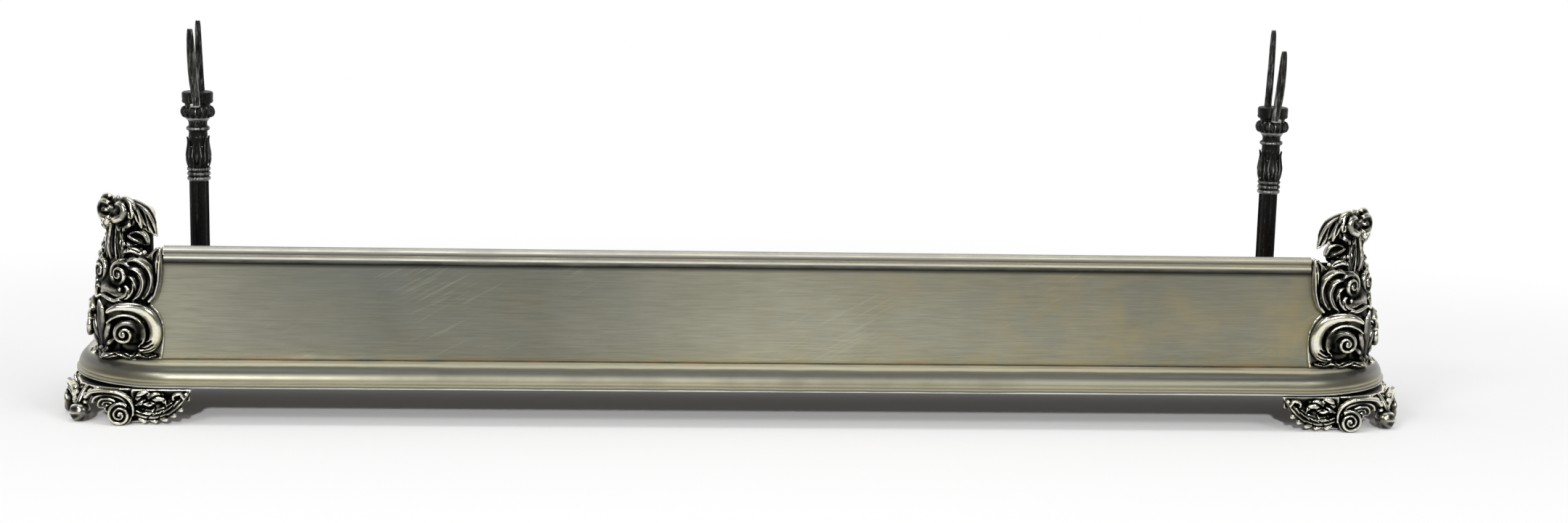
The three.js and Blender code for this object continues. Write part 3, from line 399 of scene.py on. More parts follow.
@finish("black iron")
def black_iron(n, shader, place):
    """Matt black iron with a dry skin, rubbed to bright iron in streaks where the relief stands up; the
    bright ridges are partly real wear and partly painted highlight.
    """
    dark = tuple(colours().iron)
    stain = n.use(patina(), Vector=place, Scale=32.0)
    skin = n.put("ShaderNodeTexNoise", Vector=place, Scale=420.0, Detail=6.0, Roughness=0.6).outputs["Fac"]
    base = n.blend(n.ramp(skin, [(0.35, 0.0), (0.75, 1.0)]), tint(dark, 0.3), tint(dark, 1.8))
    base = n.blend(n.times(stain["Stain"], 0.25), base, (0.012, 0.009, 0.007))
    relief = n.relief()
    upright = n.put("ShaderNodeVectorMath", operation="MULTIPLY", i0=place, i1=(1, 1, 0.12))
    streak = n.put("ShaderNodeTexNoise", Vector=upright.outputs[0], Scale=520.0, Detail=5.0, Roughness=0.7)
    wear_and_painted_light = n.plus(relief, n.times(n.maths("SUBTRACT", streak.outputs["Fac"], 0.5), 0.9))
    # bright iron on the ridges and streaks: partly real wear, partly painted highlight
    bare_and_highlight = n.ramp(wear_and_painted_light, [(0.56, 0.0), (0.66, 0.12), (0.78, 0.75), (0.9, 1.0)])
    base = n.blend(bare_and_highlight, base, (0.34, 0.34, 0.33))
    n.feed(shader, Base_Color=base, Metallic=n.times(bare_and_highlight, 0.9), Specular_IOR_Level=0.10,
           Roughness=n.ramp(skin, [(0.3, 0.45), (0.8, 0.28)]), Normal=n.bump(skin, 0.4, 0.0010))


@finish("pale ball")
def ball_metal(n, shader, place):
    """Pale ball with a faint pink cast; its paleness is a painted highlight."""
    stain = n.use(patina(), Vector=place, Scale=60.0)
    base = n.blend(n.times(stain["Stain"], 0.5), (0.86, 0.74, 0.72), (0.55, 0.47, 0.44))
    n.feed(shader, Base_Color=base, Metallic=0.35, Roughness=0.38, Normal=n.bump(stain["Stain"], 0.1, 0.0004))


def floor_material():
    """Pale matt floor near the object, with a faint painted glow that lifts the shadow under the fender,
    fading into plain white further off.
    """
    mat = bpy.data.materials.new("floor")
    mat.use_nodes = True
    tree = mat.node_tree
    tree.nodes.clear()
    n = Nodes(tree)
    out = tree.nodes.new("ShaderNodeOutputMaterial")
    place = tree.nodes.new("ShaderNodeTexCoord").outputs["Object"]
    matt = n.put("ShaderNodeBsdfDiffuse", Color=tuple(colours().floor)).outputs[0]
    # faint glow: painted light that lifts the shadow under the fender
    glow = n.put("ShaderNodeEmission", Color=(1, 0.9, 0.76), Strength=FLOOR_GLOW).outputs[0]
    matt = n.put("ShaderNodeAddShader", i0=matt, i1=glow).outputs[0]
    axis = n.axes(place)
    across = n.times(n.maths("ABSOLUTE", axis["X"]), 0.62)
    reach = n.put("ShaderNodeCombineXYZ", X=across, Y=axis["Y"]).outputs[0]
    away = n.put("ShaderNodeVectorMath", operation="LENGTH", i0=reach).outputs["Value"]
    fade = n.ramp(n.times(away, 0.5), [(0.20, 0.0), (0.55, 1.0)], "EASE")
    rays = tree.nodes.new("ShaderNodeLightPath").outputs
    seen = n.maths("MAXIMUM", n.maths("MAXIMUM", rays["Is Camera Ray"], rays["Is Glossy Ray"]),
                   rays["Is Transmission Ray"])
    white = n.put("ShaderNodeEmission", Color=WHITE, Strength=1.0).outputs[0]
    mix = n.put("ShaderNodeMixShader", i0=n.times(fade, seen), i1=matt, i2=white)
    tree.links.new(mix.outputs[0], out.inputs["Surface"])
    return mat


def room_light():
    """White behind the object for what the camera and the metal see, plain grey light otherwise."""
    world = bpy.data.worlds.new("room")
    world.use_nodes = True
    tree = world.node_tree
    tree.nodes.clear()
    n = Nodes(tree)
    out = tree.nodes.new("ShaderNodeOutputWorld")
    rays = tree.nodes.new("ShaderNodeLightPath").outputs
    way = n.axes(tree.nodes.new("ShaderNodeTexCoord").outputs["Generated"])
    back = n.span(way["Y"], -0.25, 0.45)
    room = n.ramp(back, [(0.0, 0.12), (0.5, 0.25), (1.0, 1.0)])
    shine = n.put("ShaderNodeBackground", Color=room, Strength=1.0).outputs[0]
    plain = n.put("ShaderNodeBackground", Color=WHITE, Strength=ROOM_LIGHT).outputs[0]
    white = n.put("ShaderNodeBackground", Color=WHITE, Strength=1.0).outputs[0]
    mirror = n.maths("MAXIMUM", rays["Is Glossy Ray"], rays["Is Transmission Ray"])
    first = n.put("ShaderNodeMixShader", i0=mirror, i1=plain, i2=shine).outputs[0]
    last = n.put("ShaderNodeMixShader", i0=rays["Is Camera Ray"], i1=first, i2=white).outputs[0]
    tree.links.new(last, out.inputs["Surface"])
    return world


# ---------------------------------------------------------------- mesh helpers
def to_row(side=1):
    """From fender millimetres, right-hand end, to the row frame in metres."""
    place = Matrix.Translation(Vector((0, LIP_Y * MM, 0)))
    return place @ Matrix.Diagonal((side * MM, MM, MM, 1.0))


def finish_mesh(bm, name, side=1):
    """A mesh in the row frame, from forms in fender millimetres at the right-hand end."""
    bmesh.ops.transform(bm, matrix=to_row(side), verts=bm.verts)
    bmesh.ops.recalc_face_normals(bm, faces=bm.faces)
    mesh = bpy.data.meshes.new(name)
    bm.to_mesh(mesh)
    bm.free()
    return mesh


def piece(name, mesh, material, nodes, smooth_angle=40):
    """A named object that rides the root and replaces its CAD nodes; an angle of 0 smooths every edge."""
    mesh.name = name
    obj = bpy.data.objects.new(name, mesh)
    bpy.context.scene.collection.objects.link(obj)
    mesh.materials.clear()
    mesh.materials.append(material)
    mesh.shade_smooth()
    if smooth_angle:
        bm = bmesh.new()
        bm.from_mesh(mesh)
        limit = math.radians(smooth_angle)
        for edge in bm.edges:
            edge.smooth = len(edge.link_faces) == 2 and edge.calc_face_angle(0.0) < limit
        bm.to_mesh(mesh)
        bm.free()
    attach(obj, "root")
    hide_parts(*nodes)
    return obj


def dress(nodes, material):
    """A finish for CAD nodes that stay."""
    for name in nodes:
        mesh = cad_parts[name].data
        mesh.materials.clear()
        mesh.materials.append(material)


def outline(bm, points, make):
    """Vertices along an outline, joined by edges; make() turns a pair into a place."""
    verts = [bm.verts.new(make(*p)) for p in points]
    edges = [bm.edges.new(pair) for pair in zip(verts, verts[1:])]
    return verts, edges


def ring_of(geom):
    """The new ring in what an extrusion or spin returns."""
    verts = [g for g in geom if isinstance(g, bmesh.types.BMVert)]
    own = set(verts)
    edges = [g for g in geom if isinstance(g, bmesh.types.BMEdge) and own.issuperset(g.verts)]
    return verts, edges


def drawn(bm, edges, step):
    """Extrudes edges by a step and returns the new verts and edges."""
    out = bmesh.ops.extrude_edge_only(bm, edges=edges)["geom"]
    verts, edges = ring_of(out)
    bmesh.ops.translate(bm, vec=Vector(step), verts=verts)
    return verts, edges


def turned(bm, profile, centre, steps=48):
    """A turned solid from [radius, height] pairs, closed on its axis."""
    verts, edges = outline(bm, profile, lambda r, z: (centre[0] + r, centre[1], z))
    bmesh.ops.spin(bm, geom=verts + edges, cent=(*centre, 0), axis=(0, 0, 1), angle=2 * math.pi, steps=steps,
                   use_merge=True, use_duplicate=False)
    bmesh.ops.remove_doubles(bm, verts=bm.verts, dist=0.002)


def smooth_line(points, n):
    """A curve through points, in n steps."""
    pts = [Vector(p) for p in points]
    last = len(pts) - 1
    line = []
    for i in range(n + 1):
        t = i / n * last
        k = min(int(t), last - 1)
        f = t - k
        a, b, c, d = pts[max(k - 1, 0)], pts[k], pts[k + 1], pts[min(k + 2, last)]
        line.append(0.5 * (2 * b + (c - a) * f + (2 * a - 5 * b + 4 * c - d) * f * f
                           + (3 * b - a - 3 * c + d) * f ** 3))
    return line


def between(values, t):
    """A list of values read at t, from 0 to 1."""
    f = t * (len(values) - 1)
    i = min(len(values) - 2, int(f))
    return values[i] + (values[i + 1] - values[i]) * (f - i)


def limb(bm, points, wide, high, outward=OUT_FRONT, sides=12, per=4, ribs=0, cut=0.22):
    """A tapering limb through points; wide lies in the surface, high stands off it, ribs run along it."""
    n = per * (len(points) - 1)
    line = smooth_line(points, n)
    ring = bmesh.ops.create_circle(bm, segments=sides, radius=1.0)["verts"]
    if ribs:
        for v in ring:
            angle = math.atan2(v.co.y, v.co.x)
            v.co *= 1 - cut * (0.5 - 0.5 * math.cos(2 * ribs * angle))
    edges = list({e for v in ring for e in v.link_edges})
    first = edges
    before = Matrix.Identity(4)
    for i, centre in enumerate(line):
        tangent = (line[min(i + 1, n)] - line[max(i - 1, 0)]).normalized()
        up = outward(centre) if callable(outward) else outward
        up = (up - tangent * up.dot(tangent)).normalized()
        side = tangent.cross(up)
        t = i / n
        now = Matrix((side * between(wide, t), up * between(high, t), tangent)).transposed().to_4x4()
        now.translation = centre
        if i:
            ring, edges = ring_of(bmesh.ops.extrude_edge_only(bm, edges=edges)["geom"])
        bmesh.ops.transform(bm, matrix=now @ before.inverted(), verts=ring)
        before = now
    for rim in (first, edges):
        bmesh.ops.edgeloop_fill(bm, edges=rim)


def pebble(bm, centre, radii, turn=0.0, level=3):
    """A rounded lump with three radii, turned about the upright."""
    place = Matrix.Translation(centre) @ Matrix.Rotation(turn, 4, "Z") @ Matrix.Diagonal((*radii, 1.0))
    bmesh.ops.create_icosphere(bm, subdivisions=level, radius=1.0, matrix=place)


def slab(bm, points, make, thickness):
    """A flat plate from an outline, thickened by a vector."""
    verts = [bm.verts.new(make(*p)) for p in points]
    face = bm.faces.new(verts)
    out = bmesh.ops.extrude_face_region(bm, geom=[face])["geom"]
    bmesh.ops.translate(bm, vec=Vector(thickness), verts=[g for g in out if isinstance(g,
                                                                                       bmesh.types.BMVert)])


def fused(bm, voxel):
    """One skin round overlapping forms, in millimetres."""
    bmesh.ops.recalc_face_normals(bm, faces=bm.faces)
    rough = bpy.data.meshes.new("rough")
    bm.to_mesh(rough)
    bm.free()
    obj = bpy.data.objects.new("rough", rough)
    bpy.context.scene.collection.objects.link(obj)
    skin = obj.modifiers.new("skin", "REMESH")
    skin.mode = "VOXEL"
    skin.voxel_size = voxel / MM
    skin.adaptivity = 0.0
    graph = bpy.context.evaluated_depsgraph_get()
    mesh = bpy.data.meshes.new_from_object(obj.evaluated_get(graph))
    bpy.data.objects.remove(obj)
    bpy.data.meshes.remove(rough)
    return mesh


def arrays(mesh):
    """Places, normals and edges of a mesh."""
    co = np.empty(len(mesh.vertices) * 3, np.float32)
    mesh.vertices.foreach_get("co", co)
    normals = np.empty(len(mesh.vertices) * 3, np.float32)
    mesh.vertex_normals.foreach_get("vector", normals)
    edges = np.empty(len(mesh.edges) * 2, np.int32)
    mesh.edges.foreach_get("vertices", edges)
    return co.reshape(-1, 3).astype(float), normals.reshape(-1, 3).astype(float), edges.reshape(-1, 2)


def put_back(mesh, co):
    mesh.vertices.foreach_set("co", co.astype(np.float32).ravel())
    mesh.update()


def relaxed(co, edges, rounds):
    """Vertices drawn half way to the middle of their neighbours, some rounds over."""
    a, b = edges[:, 0], edges[:, 1]
    n = len(co)
    count = np.bincount(a, minlength=n) + np.bincount(b, minlength=n)
    count = np.maximum(count, 1)[:, None]
    for _ in range(rounds):
        total = np.stack([np.bincount(a, weights=co[b, k], minlength=n) + np.bincount(b, weights=co[a, k],
                                                                                      minlength=n)
                          for k in range(3)], axis=1)
        co = co + 0.5 * (total / count - co)
    return co


def stroked(flat, strokes):
    """Sum of soft strokes given in a flat view as (line, half width, amount)."""
    total = np.zeros(len(flat))
    for points, width, amount in strokes:
        dense = smooth_line([(*p, 0) for p in points], 8 * (len(points) - 1))
        near = np.full(len(flat), 1e9)
        at = np.zeros(len(flat))
        for k, (p, q) in enumerate(zip(dense, dense[1:])):
            d = np.array((q.x - p.x, q.y - p.y))
            w = flat - np.array((p.x, p.y))
            t = np.clip((w @ d) / max(float(d @ d), 1e-9), 0, 1)
            gap = np.hypot(*(w - t[:, None] * d).T)
            closer = gap < near
            near = np.where(closer, gap, near)
            at = np.where(closer, (k + t) / (len(dense) - 1), at)
        taper = np.clip(np.minimum(at, 1 - at) * 6 + 0.25, 0, 1)
        total += amount * np.clip(1 - (near / width) ** 2, 0, 1) ** 1.5 * taper
    return total


def folded(co, normals):
    """The return half of a corner carried over onto its front half."""
    over = co[:, 0] + co[:, 1] > SUM_XY
    x = np.where(over, SUM_XY - co[:, 1], co[:, 0])
    y = np.where(over, SUM_XY - co[:, 0], co[:, 1])
    nx = np.where(over, -normals[:, 1], normals[:, 0])
    ny = np.where(over, -normals[:, 0], normals[:, 1])
    return x, y, nx, ny


# rounds of smoothing that give the ground at three scales, and the weight of the height above each
RELIEF_SCALES = ((90, 0.10), (24, 0.22), (3, 0.9))
# painted light: how much lighter upward-facing skin is made in the relief
UPWARD_PAINTED_LIGHT = 0.10


def store_relief(mesh, extra=0.0, gain=1.0, unit=1.0):
    """Stores how high each point stands above the ground round it, plus painted light that lifts
    upward-facing skin, 0 to 1, as the attribute 'relief'.
    """
    co, normals, edges = arrays(mesh)
    co = co / unit
    value = UPWARD_PAINTED_LIGHT * normals[:, 2]
    for rounds, weight in RELIEF_SCALES:
        value = value + weight * ((co - relaxed(co, edges, rounds)) * normals).sum(1)
    value = 0.50 + gain * value + extra
    layer = mesh.attributes.new("relief", "FLOAT", "POINT")
    layer.data.foreach_set("value", np.clip(value, 0, 1).astype(np.float32))


# ---------------------------------------------------------------- places on the right-hand corner
def on_front(s, p, h):
    """s inboard from the meeting of the faces, p off the face, h above the ledge."""
    return Vector((FACE_X - s, FACE_Y - p, LEDGE_Z + h))


def on_corner(n, q, h):
    """n outward from the corner centre, q across the diagonal, h above the ledge."""
    return Vector((CX + (n - q) * RT2, CY - (n + q) * RT2, LEDGE_Z + h))


MIRROR_CORNER = Matrix(((0, -1, 0, SUM_XY), (-1, 0, 0, SUM_XY), (0, 0, 1, 0), (0, 0, 0, 1)))


def both_halves(bm):
    """Adds the reflection of everything in the plane that halves the corner."""
    copy = bmesh.ops.duplicate(bm, geom=bm.verts[:] + bm.edges[:] + bm.faces[:])["geom"]
    bmesh.ops.transform(bm, matrix=MIRROR_CORNER, verts=[g for g in copy if isinstance(g,
                                                                                       bmesh.types.BMVert)])


# ---------------------------------------------------------------- corner castings
def outward_at(point):
    """Outward from the corner, leaning to the front."""
    d = Vector((point.x - CX, point.y - CY, 0)).normalized()
    return (d + Vector((0, -1.6, 0))).normalized()


# centre of the coiled eye as (n, q, h), the way it faces and its outward direction
EYE = (89.6, 15.6, 88.0)
EYE_TURN = math.radians(36)
OUT_EYE = Vector((math.sin(EYE_TURN), -math.cos(EYE_TURN), 0))


def on_eye(t, u, d):
    """Round the eye: t across it towards the diagonal, u up, d outward."""
    return on_corner(*EYE) + Vector((-OUT_EYE.y, OUT_EYE.x, 0)) * t + OUT_EYE * d + Vector((0, 0, u))


# outline of the flat flange on the sheet, as (s, h)
FLANGE = [(18, 0.6), (59.4, 0.6), (61.2, 8), (62.2, 18), (62.6, 30), (61.6, 40), (58.4, 48), (54, 54),
          (50.2, 57.6), (54, 61.4), (57.4, 68), (59.8, 78), (61.4, 90), (62.6, 102), (63, 116.6), (56, 115),
          (48, 106), (18, 103)]

# limbs of the front half: points as (s, p, h), half widths, heights, ribs
LIMBS = [
    # broad smooth C-scroll and the fine rim inside it
    ([(8, 9, 50), (12.5, 10.4, 53), (19, 11.2, 55.4), (28, 10.6, 56), (37, 9.6, 54.4), (44.5, 8.4, 50.4),
      (50, 7.4, 44), (53.2, 6.8, 36), (54, 6.4, 28), (52.6, 6.4, 20.4), (49, 6.8, 15), (44, 7.2, 12),
      (38, 8, 11)], [2.2, 3.2, 4.2, 5.1, 5.9, 6.6, 7.2, 7.6, 7.7, 7.2, 6.0, 4.4, 2.2],
     [4, 4.6, 5, 5.2, 5.2, 5.2, 5.2, 5.2, 5.2, 5, 4.6, 3.8, 2.2], 0),
    ([(8, 12.4, 39.6), (13, 13.6, 44.2), (20, 14.2, 47.4), (28, 13.8, 48), (35.4, 12.8, 45.6),
      (41.2, 12, 40.6), (44.8, 11.4, 33.6), (45, 11, 26), (42.4, 10.6, 19.4), (38, 10.6, 15.4)],
     [1.0, 1.3, 1.4, 1.4, 1.4, 1.4, 1.3, 1.2, 1.1, 0.9], [2.8, 3, 3, 3, 3, 3, 3, 2.8, 2.4, 1.6], 0),
    # snail
    ([(41, 9.6, 23.6), (40.2, 12, 31), (36.4, 13.6, 37), (30, 14.6, 39.8), (23, 14.8, 39), (18.2, 14.8, 34.8),
      (16.8, 15, 29), (19, 15.4, 23.6), (24.2, 15.8, 21.4), (29.4, 16.2, 23.2), (31.6, 16.4, 28),
      (30, 16.8, 32.4), (26, 17, 34), (22.6, 17.2, 32), (21.8, 17.4, 28.6), (24, 17.6, 26.4),
      (26.6, 17.8, 27.8)], [4.6, 5.2, 4.8, 4.0, 3.2, 2.8, 2.5, 2.3, 2.1, 2.0, 1.9, 1.8, 1.7, 1.6, 1.5, 1.3,
                            1.1], [4, 4.2, 4, 3.6, 3.4, 3.2, 3.2, 3.2, 3, 3, 3, 2.8, 2.8, 2.6, 2.4, 2.2, 1.8],
     0),
    # leaf lying on the ledge
    ([(2, 6, 6), (12, 9, 5.6), (20, 9.6, 7.6), (29, 9, 5), (38, 8.4, 6.8), (46, 7, 4.8), (55, 5.4, 5.2)],
     [3.0, 4.0, 3.0, 4.0, 3.0, 3.4, 1.2], [5, 6, 5.4, 5, 4.6, 3.6, 2], 2),
    # tall leaf up the edge to the shoulder
    ([(48, 5.4, 60), (53, 5.2, 67), (56.2, 4.8, 79), (57.8, 4.6, 91), (58.8, 5.2, 103), (61, 6.4, 115.4)],
     [2.6, 4.4, 5.2, 5.3, 4.4, 0.9], [3.4, 4, 4.4, 4.6, 4.2, 1.4], 2),
    # acanthus lobes hooking down round the eye
    ([(27, 2.6, 100), (34, 4.4, 103), (42, 5.4, 101), (49, 5.6, 95), (51.8, 5.6, 87), (51, 5.7, 78),
      (47.4, 5.9, 69.6), (42, 6.2, 62.6)], [1.8, 3.6, 4.4, 4.8, 5.0, 4.8, 4.2, 1.4],
     [3, 4.4, 5, 5.2, 5.2, 5, 4.6, 2], 2),
    ([(29.6, 5, 94), (35, 6.2, 94), (40.6, 6.6, 90), (43.4, 6.8, 82.6), (42.4, 6.9, 74.6), (38.4, 7.1, 67),
      (32, 7.2, 61)], [1.8, 3.2, 4.0, 4.2, 4.0, 3.4, 1.2], [3.2, 4.6, 5.2, 5.2, 5, 4.4, 2], 2),
    ([(29.6, 6.4, 86.6), (33.6, 7, 84), (35.4, 7.3, 78), (33.4, 7.5, 71), (28, 7.6, 64.6), (21, 7.4, 60.6)],
     [1.5, 2.8, 3.3, 3.2, 2.6, 1.0], [3.2, 4.8, 5, 4.8, 4, 2], 2),
    ([(25.4, 7, 77), (29, 7.8, 74), (28, 8.2, 68.6), (21.6, 8, 64), (13.6, 6.6, 61.4)],
     [1.2, 2.1, 2.4, 2.0, 1.0], [3, 4.2, 4.4, 3.6, 2], 1),
    # lower edge of the belly
    ([(2, -1, 66), (10, 2.6, 62.4), (18, 5, 60.2), (28, 6, 58.6), (37, 6.4, 57.8), (46, 6.6, 57.4)],
     [1.4, 2.2, 2.4, 2.4, 2.0, 1.0], [3.4, 4, 4, 4, 3.4, 2], 0),
    # folds between eye and shoulder
    ([(24, -3, 108), (30, 1.2, 112), (37, 2.2, 111), (43, 2.2, 105.6), (46, 2, 100)],
     [2.0, 3.4, 3.6, 2.8, 1.2], [3.4, 4.4, 4.4, 3.6, 2], 1),
    ([(20, -5, 119), (28, -2.4, 117), (36, -1, 113.4), (43, 0.4, 113)],
     [2.6, 3.0, 2.4, 1.0], [3.6, 4, 3.6, 2], 1),
    # hollow leaf under the head: its far edge and the fold below it
    ([(30, -3, 128), (37, -3, 130), (44, -3.4, 127), (47, -3.4, 120), (46, -3, 113)],
     [1.4, 2.4, 2.6, 2.4, 1.2], [2.6, 3.6, 3.6, 3.2, 1.8], 0),
    ([(27, -5, 127), (33, -3.4, 123), (40, -2.6, 119.6), (47, -3, 115)], [2, 4.4, 4.6, 1.4], [3, 4.4, 4.2, 2],
     2),
]

# beads and buds: places and radii
PEBBLES = [
    (on_front(32, 8, 29), (13, 7.6, 11.4)), (on_front(24.4, 13.4, 29.2), (6.8, 4.4, 6.8)),
    (on_front(25, 18, 29.4), (2, 2, 2)), (on_front(20, 4.6, 72.4), (2.0, 2.2, 3.0)),
    (on_front(44.4, 2.4, 110), (2.6, 2.6, 2.6)), (on_front(36, -7.4, 120), (13, 5, 12)),
    (on_front(25, -8, 150), (10.5, 8, 10)), (on_front(33, -7, 108), (13, 6.6, 8)),
    (on_front(33, -8.4, 136), (11, 6, 10)), (on_front(34, 4, 16), (14, 6, 9)),
    (on_front(7.6, -3, 139.6), (3.0, 3.0, 3.4)),
]

# coil of the eye, as (across, up, outward)
EYE_COIL = [(-14, 4.4, -5), (-10.8, 8.2, -4), (-5.4, 11, -2.6), (1.4, 11.2, -1.6), (7.4, 8.4, -1),
            (10.2, 2.4, -0.6), (9.2, -4.8, -0.2), (4.2, -9.4, 0.2), (-2.4, -9.6, 0.4), (-6.8, -5.4, 0.6),
            (-7.4, 0.4, 0.8), (-4.2, 4.8, 1), (1, 5.6, 1.2), (4.8, 2.4, 1.4), (4.2, -2.4, 1.6),
            (0.4, -4.2, 1.8), (-2.4, -1.6, 2), (-0.8, 1, 2.2)]


def corner_limb(bm, points, wide, high, **form):
    """A limb through (n, q, h) places at the corner, facing outward."""
    limb(bm, [on_corner(*p) for p in points], wide, high, OUT_CORNER, **form)


def front_half(bm):
    """Forms of the half of a casting on the front sheet."""
    slab(bm, FLANGE, lambda s, h: on_front(s, 0.3, h), (0, -2.6, 0))
    for points, wide, high, ribs in LIMBS:
        limb(bm, [on_front(*p) for p in points], wide, high, outward_at, ribs=ribs, sides=16 if ribs else 12)
    for centre, radii in PEBBLES:
        pebble(bm, centre, radii)
    # coiled eye on its boss
    pebble(bm, on_eye(0, 0, -6), (10.6, 8.2, 10.6), EYE_TURN)
    pebble(bm, on_eye(0, -0.4, 0.6), (3.6, 2.8, 4.4), EYE_TURN)
    limb(bm, [on_eye(*p) for p in EYE_COIL],
         [1.2, 1.9, 2.3, 2.4, 2.4, 2.3, 2.2, 2.1, 2.0, 1.9, 1.8, 1.7, 1.6, 1.5, 1.4, 1.3, 1.2, 1.0],
         [2.2, 3, 3.2, 3.2, 3.2, 3.2, 3.2, 3, 3, 3, 2.8, 2.8, 2.6, 2.6, 2.4, 2.2, 2, 1.6], OUT_EYE, per=3)
    # stem of the front head
    corner_limb(bm, [(79, 15, 92), (80, 13.4, 104), (80, 11.6, 116), (79.5, 10, 128), (80, 10, 143)],
                [7.6, 6.4, 5.6, 6.2, 8.0], [9, 7.4, 7, 7, 8], ribs=3, sides=24, cut=0.3)
    corner_limb(bm, [(84, 5, 100), (85.4, 7, 112), (84.6, 6.4, 124), (83, 4.6, 136)], [1.4, 2.0, 2.0, 1.2],
                [2.4, 3, 3, 2])
    # rolled head: broad boss with a slit, hood, lower lip and chin
    pebble(bm, on_corner(78.4, 12.6, 149), (12, 10, 11), math.pi / 4)
    pebble(bm, on_corner(77, 14, 140), (10.4, 8.6, 8.6), math.pi / 4)
    corner_limb(bm, [(85.6, 3, 143), (88, 7.6, 141.6), (88.4, 12.6, 142.4), (86.6, 18, 145.6),
                     (85.4, 20.6, 151), (85, 18, 156.4), (85.4, 12.4, 158), (85, 6, 156.4)],
                [2.2, 3.6, 4.0, 3.8, 3.6, 3.4, 3.0, 1.8], [3, 4, 4.2, 4, 4, 4, 3.6, 2.4])
    pebble(bm, on_corner(87, 10.6, 149.8), (5.4, 3.4, 2.8), math.pi / 4)
    corner_limb(bm, [(80, 9, 162), (81, 15, 162.6), (79, 21.6, 159), (80, 25.4, 152), (82, 24.6, 144)],
                [2.0, 3.8, 4.6, 4.2, 2.0], [3, 4, 4.4, 4, 2.4])
    corner_limb(bm, [(82.6, 5, 135.6), (84.6, 11, 133), (83.6, 17, 133.6), (80, 23, 137.6)],
                [1.8, 3.4, 3.4, 1.6], [2.6, 4, 3.8, 2])
    # head leaf sweeping back to its point, with a second blade over it
    sweep = [(23, -5.6, 154.4), (33, -5.4, 153.4), (42, -5.4, 147.4), (48.4, -5, 138.6), (52.6, -4.6, 131.6),
             (57, -4, 125)]
    limb(bm, [on_front(*p) for p in sweep], [7.6, 9.8, 10.6, 9.0, 5.4, 0.9], [7.6, 7.6, 6.6, 4.8, 2.8, 0.9],
         Vector((-0.35, -1, 0.25)).normalized(), ribs=3, sides=30, cut=0.34)
    blade = [(24, -1, 158), (31, 0.6, 156), (37, 0.8, 150), (40.6, 0.4, 142), (42, 0, 133.4)]
    limb(bm, [on_front(*p) for p in blade], [2.4, 4.2, 4.6, 3.6, 0.9], [2.4, 3.4, 3.4, 2.8, 0.9],
         Vector((-0.35, -1, 0.25)).normalized(), ribs=1, sides=16)


# lines cut in the flat view (s, h), half width, depth
GROOVES = [
    # tall leaf and lobes
    ([(52, 66), (56.4, 80), (57.6, 94), (59.4, 108)], 1.5, 1.8),
    ([(55.4, 84), (54.8, 96), (54, 106), (56.6, 111)], 1.4, 1.6),
    ([(44, 65), (49.4, 76), (49.4, 87), (43, 96), (35, 99)], 1.4, 1.5),
    ([(37, 66), (41.6, 74), (41.8, 84), (37.4, 90.6)], 1.3, 1.4),
    ([(31, 64), (35, 70), (35, 78), (32, 83.4)], 1.1, 1.2), ([(20, 62), (27, 66), (28.6, 72)], 1.1, 1.1),
    ([(47, 62.6), (53.6, 72), (55.2, 84)], 1.0, 1.0), ([(4, 68), (14, 64.4), (28, 61.8)], 1.2, 1.1),
    # feathered end of the C-scroll
    ([(37, 16.4), (44, 17.4), (51, 21.4)], 1.3, 1.8), ([(39, 13), (46, 13.8), (53, 17.6)], 1.2, 1.7),
    ([(42, 10), (49, 11), (54.4, 14)], 1.1, 1.4),
    # ledge leaf
    ([(6, 5.4), (14, 8.4), (20, 6)], 1.2, 1.5), ([(24, 8.6), (31, 5), (36, 8.8)], 1.2, 1.5),
    ([(40, 9), (46, 5.2), (52, 7.4)], 1.1, 1.3),
    # head leaf
    ([(27, 160), (31.6, 150), (33, 138)], 1.5, 2.2), ([(34.4, 157), (38.6, 147), (40, 134)], 1.5, 2.2),
    ([(41, 153), (45.6, 143), (48, 131)], 1.4, 2.0), ([(47, 147), (51.4, 137), (54.4, 128)], 1.2, 1.7),
    # stem, shoulder
    ([(22.6, 136), (21, 122), (22.6, 106)], 1.3, 1.7), ([(27.4, 134), (26, 122), (27, 110)], 1.1, 1.4),
    ([(16.6, 134), (15.6, 122), (16.4, 106)], 1.1, 1.4), ([(24, 108), (31, 107.6), (39, 106)], 1.1, 1.3),
    ([(28, 114.4), (35, 112.6), (41, 109.6)], 1.1, 1.4),
]

# lines in the same view, half width, and how much painted highlight each adds or, below zero, how much
# painted shadow
PAINTED_HIGHLIGHTS_AND_SHADOWS = [
    ([(12, 51.5), (26, 56), (43, 52), (53.4, 38), (55, 27), (52, 18)], 8.0, 0.33),
    ([(44, 47), (50.4, 38), (51.4, 26)], 3.0, -0.10), ([(2, 71), (13, 67), (23, 67)], 9, 0.24),
    ([(31, 30), (38, 30)], 5, 0.14), ([(13, 37), (23, 43.6), (35.4, 41), (40.4, 32), (38, 22)], 3.6, -0.30),
    ([(8, 79), (18, 76.6), (27, 80)], 5, -0.35), ([(5, 3.5), (30, 3.5), (60, 3.5)], 4.4, -0.32),
    ([(8, 59), (28, 57.4), (50, 57.6)], 2.0, -0.35), ([(9, 12), (13.6, 20), (11.6, 32)], 4.5, -0.30),
    ([(18, 134), (30, 133), (40, 131)], 4, -0.30), ([(30, 128), (44, 125)], 3, -0.25),
    ([(30, 124), (38, 120), (46, 115)], 6, -0.16), ([(8, 150), (20, 150)], 2.4, -0.30),
    ([(10, 141.6), (24, 143)], 3, 0.10), ([(4, 104), (6, 118), (4, 132)], 6, -0.25),
    ([(30, 100), (31, 88), (29, 78)], 2.4, -0.25),
]


